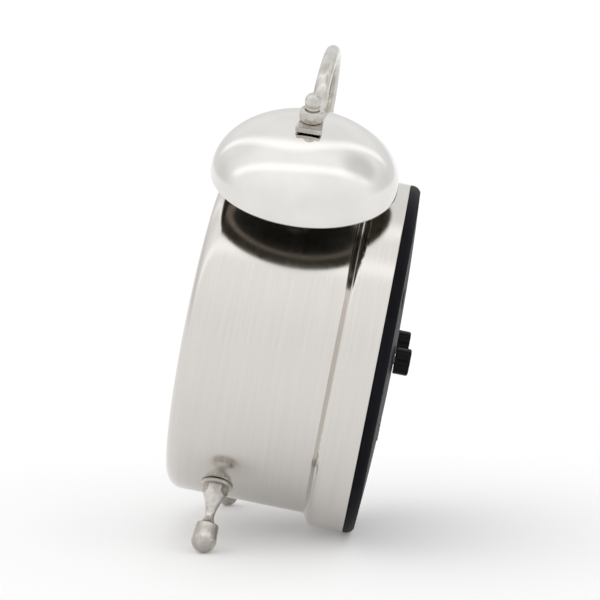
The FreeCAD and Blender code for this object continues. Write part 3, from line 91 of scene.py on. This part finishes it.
# ---- polished plate of the bells -------------------------------------------------------------------
POLISH_FINE_MM = 0.22
POLISH_COARSE_MM = 2.4
POLISH_RUN_MM = 14
POLISH_DEPTH_MM = 0.003
RIPPLE_DEPTH_MM = 0.02
RIPPLE = 26.0
PLATE_CLOUD = 60.0
PLATE_BRIGHT = (0.775, 0.760, 0.735)
PLATE_DULL = (0.73, 0.712, 0.685)
PLATE_ROUGHNESS = (0.06, 0.13)

# ---- castings, moulded plastic, window, coil and board: noise scales and depths --------------------
CAST_GRAIN = 900.0
CAST_CLOUD = 240.0
CAST_GRAIN_DEPTH_MM = 0.01
MOULDED_CLOUD = 70.0
GLASS_IOR = 1.45
GLASS_TINT = (0.96, 0.98, 0.975, 1)
GLASS_SMEAR = (60, 60, 18)
WIRE_TURNS = 2400.0
WIRE_DEPTH_MM = 0.06
TRACK_PATTERN = 260.0
TRACK_DEPTH_MM = 0.03

# ---- inside of the bells: height above the rim where the brown turns to black painted shade, half the painted reflection line there
INSIDE_SHADE_EDGE = 10.0 * MM
REFLECTION_LINE_HALF = 1.2 * MM
INSIDE_IOR = 1.35
INSIDE_CLOUD = 260.0
INSIDE_BROWN = ((0.10, 0.085, 0.06), (0.15, 0.13, 0.095))
# the black is painted shade deeper in the hollow of the bell, and the light colour is a painted reflection
# line
PAINTED_SHADE_BLACK = (0.014, 0.012, 0.008)
PAINTED_REFLECTION_COLOUR = (0.94, 0.86, 0.74)

# ---- dial printing ---------------------------------------------------------------------------------
NUMERAL_R = 30.5 * MM
NUMERAL_SIZE = 9.2 * MM
NUMERAL_STEPS = 6
TRACK_OUTER_R = 39.0 * MM
TRACK_INNER_R = 37.0 * MM
TRACK_STEPS = 180
HOUR_MARK_IN = 1.6 * MM
INK = 0.03 * MM
MINUTE_LINE = 0.28 * MM
HOUR_LINE = 0.9 * MM

# the part of a noise texture's range that most of it fills, and the whole of it
NOISE_CORE = (0.36, 0.64)
NOISE_SPAN = (0.3, 0.7)
NOISE_ROUGHNESS = 0.55

# sockets of a Mix node that mixes colours
MIX_FIRST, MIX_SECOND, MIX_RESULT = 6, 7, 2


# ==== frame of the drum ===========================================================================


def drum_frame():
    """Matrix from the drum's own frame to the row's.

    +Y runs back along the drum's axis from the joint of case and cover, and +Z up across the dial.
    """
    hub = next(j for j in frame["joints"] if j["name"] == "minute_spin")
    back = Vector(hub["axis"]).normalized()
    across = Vector((1, 0, 0))
    up = across.cross(back)
    matrix = Matrix((across, back, up)).transposed().to_4x4()
    matrix.translation = Vector(hub["pos_m"]) - back * HUB_BACK
    return matrix


DRUM = drum_frame()
DRUM_AXIS = DRUM @ Matrix.Rotation(math.radians(-90), 4, "X")


def in_drum(node):
    """Lowest and highest corners of a CAD node, in the drum's own frame."""
    points = np.array([DRUM.inverted() @ v.co for v in frame["nodes"][node].data.vertices])
    return Vector(points.min(0)), Vector(points.max(0))


def turned_axis(node):
    """Matrix whose +Z runs up a turned node's axis from its low end, found from its mesh's spread."""
    points = np.array([v.co for v in frame["nodes"][node].data.vertices])
    middle = points.mean(0)
    spreads, directions = np.linalg.eigh(np.cov((points - middle).T))
    gaps = [abs(spreads[0] - spreads[1]), abs(spreads[1] - spreads[2])]
    axis = Vector(directions[:, 0] if gaps[0] > gaps[1] else directions[:, 2])
    if axis.z < 0:
        axis = -axis
    matrix = axis.to_track_quat("Z", "Y").to_matrix().to_4x4()
    low = min((points - middle) @ np.array(axis))
    matrix.translation = Vector(middle) + axis * low
    return matrix


# ==== shader helpers ==============================================================================


def add(material, kind, inputs=None, **settings):
    """A shader node with these settings, and inputs that are values or other nodes' outputs."""
    tree = material.node_tree
    shader_node = tree.nodes.new(kind)
    for key, value in settings.items():
        setattr(shader_node, key, value)
    for key, value in (inputs or {}).items():
        socket = shader_node.inputs[key]
        if isinstance(value, bpy.types.NodeSocket):
            tree.links.new(value, socket)
        else:
            socket.default_value = value
    return shader_node


def math_node(material, operation, first, second=0.0):
    """Output of a Math node."""
    return add(material, "ShaderNodeMath", {0: first, 1: second}, operation=operation).outputs[0]


def place(material, matrix=None, scale=None):
    """Object coordinates, seen from another frame and scaled if these are given."""
    vector = add(material, "ShaderNodeTexCoord").outputs["Object"]
    if matrix is not None:
        where, turn, _ = matrix.inverted().decompose()
        inputs = {"Vector": vector, "Location": where, "Rotation": turn.to_euler()}
        vector = add(material, "ShaderNodeMapping", inputs).outputs[0]
    if scale is not None:
        vector = add(material, "ShaderNodeMapping", {"Vector": vector, "Scale": scale}).outputs[0]
    return vector


def noise(material, vector, scale=1.0, detail=3.0):
    """Output of a noise texture, about 0.3 to 0.7."""
    inputs = {"Vector": vector, "Scale": scale, "Detail": detail, "Roughness": NOISE_ROUGHNESS}
    return add(material, "ShaderNodeTexNoise", inputs).outputs["Fac"]


def spread(material, value, source, target=(0.0, 1.0)):
    """A value taken from one range to another, smoothly and clamped."""
    inputs = {
        "Value": value,
        "From Min": source[0],
        "From Max": source[1],
        "To Min": target[0],
        "To Max": target[1],
    }
    mapped = add(material, "ShaderNodeMapRange", inputs, interpolation_type="SMOOTHSTEP")
    return mapped.outputs["Result"]


def mixed(material, factor, first, second):
    """Colour between two colours."""
    mix = add(material, "ShaderNodeMix", {"Factor": factor}, data_type="RGBA")
    for index, value in ((MIX_FIRST, first), (MIX_SECOND, second)):
        if isinstance(value, bpy.types.NodeSocket):
            material.node_tree.links.new(value, mix.inputs[index])
        else:
            mix.inputs[index].default_value = (*value, 1)
    return mix.outputs[MIX_RESULT]


def bump(material, height, depth_mm, strength=1.0, before=None):
    """Normal of a surface raised by height times depth."""
    inputs = {"Height": height, "Distance": depth_mm * MM, "Strength": strength}
    if before is not None:
        inputs["Normal"] = before
    return add(material, "ShaderNodeBump", inputs).outputs[0]


def shader(name, **sockets):
    """A new material with a principled shader and the values that are the same all over it."""
    material = bpy.data.materials.new(name)
    material.use_nodes = True
    principled = material.node_tree.nodes["Principled BSDF"]
    for key, value in sockets.items():
        principled.inputs[key.replace("_", " ")].default_value = value
    return material


def feed(material, **sources):
    """Links outputs to the principled shader's sockets."""
    principled = material.node_tree.nodes["Principled BSDF"]
    for key, output in sources.items():
        material.node_tree.links.new(output, principled.inputs[key.replace("_", " ")])
    return material


# ==== metals ======================================================================================


def lathe_lines(material, matrix, fine_mm, coarse_mm, run_mm):
    """Fine and coarse brush marks that run round a frame's axis, as two noise outputs."""
    vector = place(material, matrix)
    x, y, z = add(material, "ShaderNodeSeparateXYZ", {0: vector}).outputs
    flat = add(material, "ShaderNodeCombineXYZ", {"X": x, "Y": y}).outputs[0]
    length = add(material, "ShaderNodeVectorMath", {0: flat}, operation="LENGTH")
    along = math_node(material, "ADD", z, length.outputs["Value"])
    outputs = []
    for step_mm in (fine_mm, coarse_mm):
        inputs = {
            "X": math_node(material, "MULTIPLY", x, 1 / (run_mm * MM)),
            "Y": math_node(material, "MULTIPLY", y, 1 / (run_mm * MM)),
            "Z": math_node(material, "MULTIPLY", along, 1 / (step_mm * MM)),
        }
        lines = add(material, "ShaderNodeCombineXYZ", inputs)
        outputs.append(noise(material, lines.outputs[0]))
    return outputs


def brushed_metal(name, matrix, dark, light, roughness):
    """Satin metal with brush marks round an axis, a little soft wear and uneven plating."""
    material = shader(name, Metallic=1.0)
    fine, coarse = lathe_lines(material, matrix, BRUSH_FINE_MM, BRUSH_COARSE_MM, BRUSH_RUN_MM)
    blotch = noise(material, place(material), PLATING_BLOTCH)
    fine_part = math_node(material, "MULTIPLY", fine, BRUSH_FINE_SHARE)
    coarse_part = math_node(material, "MULTIPLY", coarse, BRUSH_COARSE_SHARE)
    marks = math_node(material, "ADD", fine_part, coarse_part)
    tone = mixed(material, spread(material, marks, (0.34, 0.66)), dark, light)
    worn = math_node(material, "ADD", marks, math_node(material, "MULTIPLY", blotch, 0.5))
    rough = spread(material, worn, (0.5, 1.0), roughness)
    normal = bump(material, marks, BRUSH_DEPTH_MM, strength=0.6)
    return feed(material, Base_Color=tone, Roughness=rough, Normal=normal)


def polished_metal(name, matrix, bright, dull, roughness):
    """Bright plate: faint polishing lines round an axis, slow ripples of the pressing, cloudy wear."""
    material = shader(name, Metallic=1.0)
    fine, coarse = lathe_lines(material, matrix, POLISH_FINE_MM, POLISH_COARSE_MM, POLISH_RUN_MM)
    cloud = noise(material, place(material), PLATE_CLOUD, detail=4.0)
    slow = noise(material, place(material), RIPPLE, detail=0.0)
    tone = mixed(material, spread(material, cloud, (0.38, 0.66)), dull, bright)
    rough = spread(material, math_node(material, "ADD", cloud, fine), (0.7, 1.3), roughness)
    normal = bump(material, slow, RIPPLE_DEPTH_MM, strength=0.5)
    normal = bump(material, coarse, POLISH_DEPTH_MM, strength=0.35, before=normal)
    return feed(material, Base_Color=tone, Roughness=rough, Normal=normal)


def cast_metal(name, bright, dull, roughness, pit_mm):
    """Plate over a rough casting: small pits and a grainy polish."""
    material = shader(name, Metallic=1.0)
    grain = noise(material, place(material), CAST_GRAIN, detail=4.0)
    cloud = noise(material, place(material), CAST_CLOUD)
    tone = mixed(material, spread(material, cloud, NOISE_CORE), dull, bright)
    rough = spread(material, grain, NOISE_SPAN, roughness)
    normal = bump(material, cloud, pit_mm, strength=0.45)
    normal = bump(material, grain, CAST_GRAIN_DEPTH_MM, strength=0.5, before=normal)
    return feed(material, Base_Color=tone, Roughness=rough, Normal=normal)


# ==== plastics, print and small things ============================================================


def moulded(name, colour, roughness, grain_mm, depth_mm, tone, **sockets):
    """Moulded plastic: a fine spark-eroded grain, and gloss and colour that vary a little."""
    material = shader(name, **sockets)
    grain = noise(material, place(material), 1 / (grain_mm * MM))
    cloud = noise(material, place(material), MOULDED_CLOUD)
    darker = tuple(c * (1 - tone) for c in colour)
    lighter = tuple(c * (1 + tone) for c in colour)
    shade = mixed(material, spread(material, cloud, NOISE_CORE), darker, lighter)
    both = math_node(material, "ADD", math_node(material, "MULTIPLY", cloud, 0.6), grain)
    rough = spread(material, both, (0.5, 1.1), roughness)
    normal = bump(material, grain, depth_mm, strength=0.5)
    return feed(material, Base_Color=shade, Roughness=rough, Normal=normal)


def clear_glass(name):
    """Clear thin window that shows what is behind it, mirrors more at a slant and has faint smears."""
    material = shader(name, Base_Color=GLASS_TINT, Metallic=1.0)
    smear = noise(material, place(material, scale=GLASS_SMEAR))
    mirror = add(material, "ShaderNodeFresnel", {"IOR": GLASS_IOR}).outputs[0]
    veil = spread(material, smear, (0.4, 0.75), (0.005, 0.02))
    rough = spread(material, smear, (0.45, 0.75), (0.01, 0.06))
    return feed(material, Roughness=rough, Alpha=math_node(material, "ADD", mirror, veil))


def wound_wire(name):
    """Enamelled copper wound round a coil that runs across the clock, with painted shade darkening the
    grooves between the turns.
    """
    material = shader(name, Metallic=1.0, Coat_Weight=0.6, Coat_Roughness=0.12)
    inputs = {"Vector": place(material, DRUM), "Scale": WIRE_TURNS, "Distortion": 0.4}
    turns = add(material, "ShaderNodeTexWave", inputs, bands_direction="X").outputs["Fac"]
    # painted shade: the copper colour is darker in the grooves between the turns
    tone = mixed(material, turns, (0.35, 0.12, 0.05), (0.80, 0.42, 0.22))
    rough = spread(material, turns, (0, 1), (0.4, 0.2))
    normal = bump(material, turns, WIRE_DEPTH_MM)
    return feed(material, Base_Color=tone, Roughness=rough, Normal=normal)


def board(name):
    """Solder mask with copper tracks just showing through."""
    material = shader(name, Coat_Weight=0.4, Coat_Roughness=0.2)
    inputs = {"Vector": place(material, DRUM), "Scale": TRACK_PATTERN}
    tracks = add(material, "ShaderNodeTexBrick", inputs).outputs["Fac"]
    tone = mixed(material, tracks, (0.02, 0.16, 0.06), (0.05, 0.30, 0.12))
    rough = spread(material, tracks, (0, 1), (0.45, 0.3))
    normal = bump(material, tracks, TRACK_DEPTH_MM)
    return feed(material, Base_Color=tone, Roughness=rough, Normal=normal)


def finishes():
    """The material of every slot in the record but the bells'."""
    # axis of the marks, darkest and lightest colour, range of roughness
    brushed = {
        "brushed_nickel": (DRUM_AXIS, (0.644, 0.616, 0.584), (0.675, 0.648, 0.617), (0.10, 0.21)),
        "zinc_steel": (DRUM_AXIS, (0.42, 0.44, 0.46), (0.60, 0.61, 0.62), (0.22, 0.38)),
        "spring_steel": (None, (0.48, 0.48, 0.47), (0.66, 0.66, 0.65), (0.2, 0.34)),
        "core_steel": (DRUM, (0.30, 0.30, 0.31), (0.46, 0.46, 0.47), (0.28, 0.42)),
        "brass": (DRUM_AXIS, (0.60, 0.42, 0.17), (0.80, 0.62, 0.30), (0.16, 0.30)),
        "hand_silver": (DRUM, (0.55, 0.55, 0.56), (0.70, 0.70, 0.71), (0.2, 0.34)),
        "magnet": (DRUM_AXIS, (0.08, 0.08, 0.085), (0.16, 0.16, 0.17), (0.45, 0.65)),
    }
    # bright and dull colour, range of roughness, depth of the pits in mm
    cast = {
        "trim_nickel": ((0.64, 0.615, 0.58), (0.51, 0.485, 0.45), (0.08, 0.17), 0.022),
        "foot_nickel": ((0.62, 0.595, 0.56), (0.42, 0.395, 0.36), (0.12, 0.28), 0.05),
    }
    # colour, range of roughness, grain size and depth in mm, how far the colour varies, other sockets
    plastic = {
        "cover_black": ((0.005, 0.005, 0.007), (0.42, 0.58), 0.35, 0.02, 0.25, {"IOR": 1.14}),
        "knob_black": ((0.002, 0.002, 0.002), (0.08, 0.16), 0.5, 0.004, 0.25, {"IOR": 1.2}),
        "gasket_rubber": ((0.02, 0.02, 0.02), (0.6, 0.8), 0.15, 0.02, 0.25, {}),
        "ring_white": ((0.82, 0.81, 0.77), (0.4, 0.55), 0.3, 0.01, 0.03, {}),
        "dial_white": ((0.90, 0.885, 0.84), (0.42, 0.58), 0.2, 0.006, 0.02, {}),
        "hand_black": ((0.012, 0.012, 0.013), (0.25, 0.4), 0.2, 0.004, 0.25, {"Coat_Weight": 0.3}),
        "frame_plastic": ((0.12, 0.12, 0.125), (0.45, 0.6), 0.3, 0.02, 0.1, {}),
        "movement_plastic": ((0.03, 0.03, 0.033), (0.3, 0.5), 0.3, 0.015, 0.15, {}),
        "wheel_white": ((0.80, 0.79, 0.75), (0.32, 0.45), 0.3, 0.008, 0.03, {"Subsurface_Weight": 0.1}),
        "chip_black": ((0.012, 0.012, 0.013), (0.35, 0.55), 0.12, 0.01, 0.25, {}),
        "cell_label": ((0.05, 0.06, 0.09), (0.22, 0.36), 0.6, 0.006, 0.1, {"Coat_Weight": 0.4}),
    }
    made = {slot: brushed_metal(slot, *values) for slot, values in brushed.items()}
    made.update({slot: cast_metal(slot, *values) for slot, values in cast.items()})
    for slot, (*values, sockets) in plastic.items():
        made[slot] = moulded(slot, *values, **sockets)
    made["window_glass"] = clear_glass("window_glass")
    made["copper"] = wound_wire("copper")
    made["board_green"] = board("board_green")
    return made


# ==== dial printing ===============================================================================


def ink():
    """Matt black print, slightly uneven."""
    return moulded("dial_ink", (0.016, 0.016, 0.018), (0.5, 0.65), 0.15, 0.004, 0.15)


def dial_face():
    """Matrix of the dial's face, seen from in front: +X to the right, +Y up and +Z out of it."""
    front = in_drum("dial")[0].y - INK / 2
    facing = Matrix.Rotation(math.radians(90), 4, "X")
    return DRUM @ Matrix.Translation((0, front, 0)) @ facing


def numerals(face, finish):
    """The twelve hour numerals, upright, as one printed mesh."""
    pieces = []
    for hour in range(1, 13):
        text = bpy.data.curves.new(f"numeral_{hour}", "FONT")
        text.body = str(hour)
        text.size = NUMERAL_SIZE
        text.align_x = "CENTER"
        text.align_y = "CENTER"
        text.extrude = INK / 2
        text.resolution_u = NUMERAL_STEPS
        piece = bpy.data.objects.new(f"numeral_{hour}", text)
        bpy.context.collection.objects.link(piece)
        angle = math.radians(30 * hour)
        where = Vector((math.sin(angle), math.cos(angle), 0)) * NUMERAL_R
        piece.matrix_world = face @ Matrix.Translation(where)
        pieces.append(piece)
    bpy.ops.object.select_all(action="DESELECT")
    for piece in pieces:
        piece.select_set(True)
    bpy.context.view_layer.objects.active = pieces[0]
    bpy.ops.object.convert(target="MESH")
    bpy.ops.object.join()
    joined = bpy.context.object
    joined.name = "dial_numerals"
    joined.data.materials.clear()
    joined.data.materials.append(finish)
    return joined


def minute_track(face, finish):
    """Sixty marks and the two thin circles between which they stand."""
    mesh = bmesh.new()

    def mark(angle, inner, outer, width):
        """A radial bar, at an angle clockwise from the top."""
        half = width / 2
        corners = []
        for z in (-INK / 2, INK / 2):
            for x, y in ((-half, inner), (half, inner), (half, outer), (-half, outer)):
                turned = Matrix.Rotation(-angle, 3, "Z") @ Vector((x, y, z))
                corners.append(mesh.verts.new(turned))
        ends = ((3, 2, 1, 0), (4, 5, 6, 7))
        sides = ((0, 1, 5, 4), (1, 2, 6, 5), (2, 3, 7, 6), (3, 0, 4, 7))
        for quad in ends + sides:
            mesh.faces.new([corners[k] for k in quad])

    def circle(inner, outer):
        """A flat ring round the centre."""
        turns = [2 * math.pi * k / TRACK_STEPS for k in range(TRACK_STEPS)]
        loops = []
        for radius, z in ((inner, -INK / 2), (outer, -INK / 2), (outer, INK / 2), (inner, INK / 2)):
            points = [(radius * math.cos(a), radius * math.sin(a), z) for a in turns]
            loops.append([mesh.verts.new(point) for point in points])
        for side in range(4):
            first, second = loops[side], loops[(side + 1) % 4]
            for k in range(TRACK_STEPS):
                n = (k + 1) % TRACK_STEPS
                mesh.faces.new((first[k], first[n], second[n], second[k]))

    for minute in range(60):
        hour = minute % 5 == 0
        inner = TRACK_INNER_R - (HOUR_MARK_IN if hour else 0)
        mark(math.radians(6 * minute), inner, TRACK_OUTER_R, HOUR_LINE if hour else MINUTE_LINE)
    for radius in (TRACK_INNER_R, TRACK_OUTER_R):
        circle(radius - MINUTE_LINE / 2, radius + MINUTE_LINE / 2)
    bmesh.ops.recalc_face_normals(mesh, faces=mesh.faces)
    data = bpy.data.meshes.new("dial_minute_track")
    mesh.to_mesh(data)
    mesh.free()
    track = bpy.data.objects.new("dial_minute_track", data)
    bpy.context.collection.objects.link(track)
    track.matrix_world = face
    data.materials.append(finish)
    return track


# ==== studio ======================================================================================


def sky():
    """A soft white tent, greyer low on the side away from the camera, with two bands overhead."""
    world = bpy.data.worlds.new("tent")
    bpy.context.scene.world = world
    world.use_nodes = True
    direction = add(world, "ShaderNodeTexCoord").outputs["Generated"]
    x, y, z = add(world, "ShaderNodeSeparateXYZ", {0: direction}).outputs
    near = spread(world, z, NEAR_RISE_Z, (TENT_LOW, TENT_NEAR_HIGH))
    dip = spread(world, z, FAR_DIP_Z, (TENT_LOW, TENT_FAR_LOW))
    rise = spread(world, z, FAR_RISE_Z, (0.0, TENT_FAR_HIGH - TENT_FAR_LOW))
    far = math_node(world, "ADD", dip, rise)
    nearer = math_node(world, "SUBTRACT", near, far)
    side = spread(world, x, NEAR_SIDE_X)
    light = math_node(world, "ADD", far, math_node(world, "MULTIPLY", side, nearer))
    above = spread(world, z, BANDS_START_Z)
    for offset, bend, half_width, gain in BANDS:
        bent = math_node(world, "MULTIPLY", math_node(world, "MULTIPLY", y, y), bend)
        shifted = math_node(world, "SUBTRACT", x, offset)
        across = math_node(world, "ABSOLUTE", math_node(world, "ADD", shifted, bent))
        glow = spread(world, across, (0.0, half_width), (gain, 0.0))
        light = math_node(world, "ADD", light, math_node(world, "MULTIPLY", glow, above))
    inputs = {0: direction, 1: DIM_PATCH}
    close = add(world, "ShaderNodeVectorMath", inputs, operation="DOT_PRODUCT").outputs["Value"]
    dimming = spread(world, close, DIM_PATCH_SPAN, (0.0, DIM_PATCH_DEPTH))
    light = math_node(world, "ADD", light, dimming)
    background = world.node_tree.nodes["Background"]
    background.inputs["Color"].default_value = (1, 1, 1, 1)
    world.node_tree.links.new(light, background.inputs["Strength"])


def floor():
    """A round white table top, lit a little from below and wide enough to meet the horizon."""
    mesh = bmesh.new()
    bmesh.ops.create_circle(mesh, cap_ends=True, segments=FLOOR_SEGMENTS, radius=FLOOR_RADIUS)
    data = bpy.data.meshes.new("floor")
    mesh.to_mesh(data)
    mesh.free()
    ground = bpy.data.objects.new("floor", data)
    bpy.context.collection.objects.link(ground)
    paint = moulded(
        "floor_paint",
        (FLOOR_ALBEDO,) * 3,
        FLOOR_ROUGHNESS,
        FLOOR_GRAIN_MM,
        FLOOR_GRAIN_DEPTH_MM,
        0.0,
        Specular_IOR_Level=FLOOR_SPECULAR,
        Emission_Color=(1, 1, 1, 1),
        Emission_Strength=FLOOR_GLOW,
    )
    data.materials.append(paint)


def camera():
    """The camera, at the photograph's angle and distance."""
    azimuth, elevation = math.radians(CAMERA_AZIMUTH), math.radians(CAMERA_ELEVATION)
    level = math.cos(elevation)
    away = Vector((math.sin(azimuth) * level, -math.cos(azimuth) * level, math.sin(elevation)))
    data = bpy.data.cameras.new("camera")
    data.sensor_width = SENSOR_MM
    data.lens = LENS_MM
    data.clip_start = CAMERA_CLIP_START
    eye = bpy.data.objects.new("camera", data)
    bpy.context.collection.objects.link(eye)
    eye.location = DRUM @ Vector((0, AIM_BACK, AIM_UP)) + away * CAMERA_DISTANCE
    eye.rotation_euler = (-away).to_track_quat("-Z", "Y").to_euler()
    bpy.context.scene.camera = eye


# ==== assembly ====================================================================================


def dress(materials):
    """Gives each CAD node the material of its slot, apart from the bells."""
    for subpart in frame["record"]["subparts"]:
        if subpart["material_slot"] == "bell_nickel":
            continue
        piece = frame["nodes"][subpart["node"]]
        piece.data.materials.clear()
        piece.data.materials.append(materials[subpart["material_slot"]])


def inside_finish(name, axis):
    """Inside of a bell: dark brown by the rim, black painted shade deeper in, and a light painted reflection
    line between the two.
    """
    material = shader(name, IOR=INSIDE_IOR)
    height = add(material, "ShaderNodeSeparateXYZ", {0: place(material, axis)}).outputs[2]
    # above this height the colour is black painted shade, and round it runs a light painted reflection line
    above = spread(material, height, (INSIDE_SHADE_EDGE, INSIDE_SHADE_EDGE + REFLECTION_LINE_HALF))
    off_reflection = math_node(material, "ABSOLUTE", math_node(material, "SUBTRACT", height, INSIDE_SHADE_EDGE))
    painted_reflection = spread(material, off_reflection, (0.0, REFLECTION_LINE_HALF), (1.0, 0.0))
    cloud = noise(material, place(material), INSIDE_CLOUD)
    tone = mixed(material, above, mixed(material, cloud, *INSIDE_BROWN), PAINTED_SHADE_BLACK)
    tone = mixed(material, painted_reflection, tone, PAINTED_REFLECTION_COLOUR)
    rough = spread(material, cloud, NOISE_SPAN, (0.2, 0.34))
    return feed(material, Base_Color=tone, Roughness=rough)


def finish_bell(bell):
    """Polished plate outside, with marks round this bell's own axis, and the dark inside with its painted
    shade and painted reflection line.
    """
    mesh = frame["nodes"][bell].data
    axis = turned_axis(bell)
    plate = polished_metal(f"{bell}_plate", axis, PLATE_BRIGHT, PLATE_DULL, PLATE_ROUGHNESS)
    mesh.materials.clear()
    mesh.materials.append(plate)
    mesh.materials.append(inside_finish(f"{bell}_inside", axis))
    to_bell = axis.inverted()
    for polygon in mesh.polygons:
        middle = to_bell @ polygon.center
        if middle.dot(to_bell.to_3x3() @ polygon.normal) < 0:
            polygon.material_index = 1


dress(finishes())
for bell in ("right_bell", "left_bell"):
    finish_bell(bell)
print_ink = ink()
face = dial_face()
for piece in (numerals(face, print_ink), minute_track(face, print_ink)):
    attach(piece, "case")
sky()
floor()
camera()
bpy.context.scene.view_settings.view_transform = "Standard"
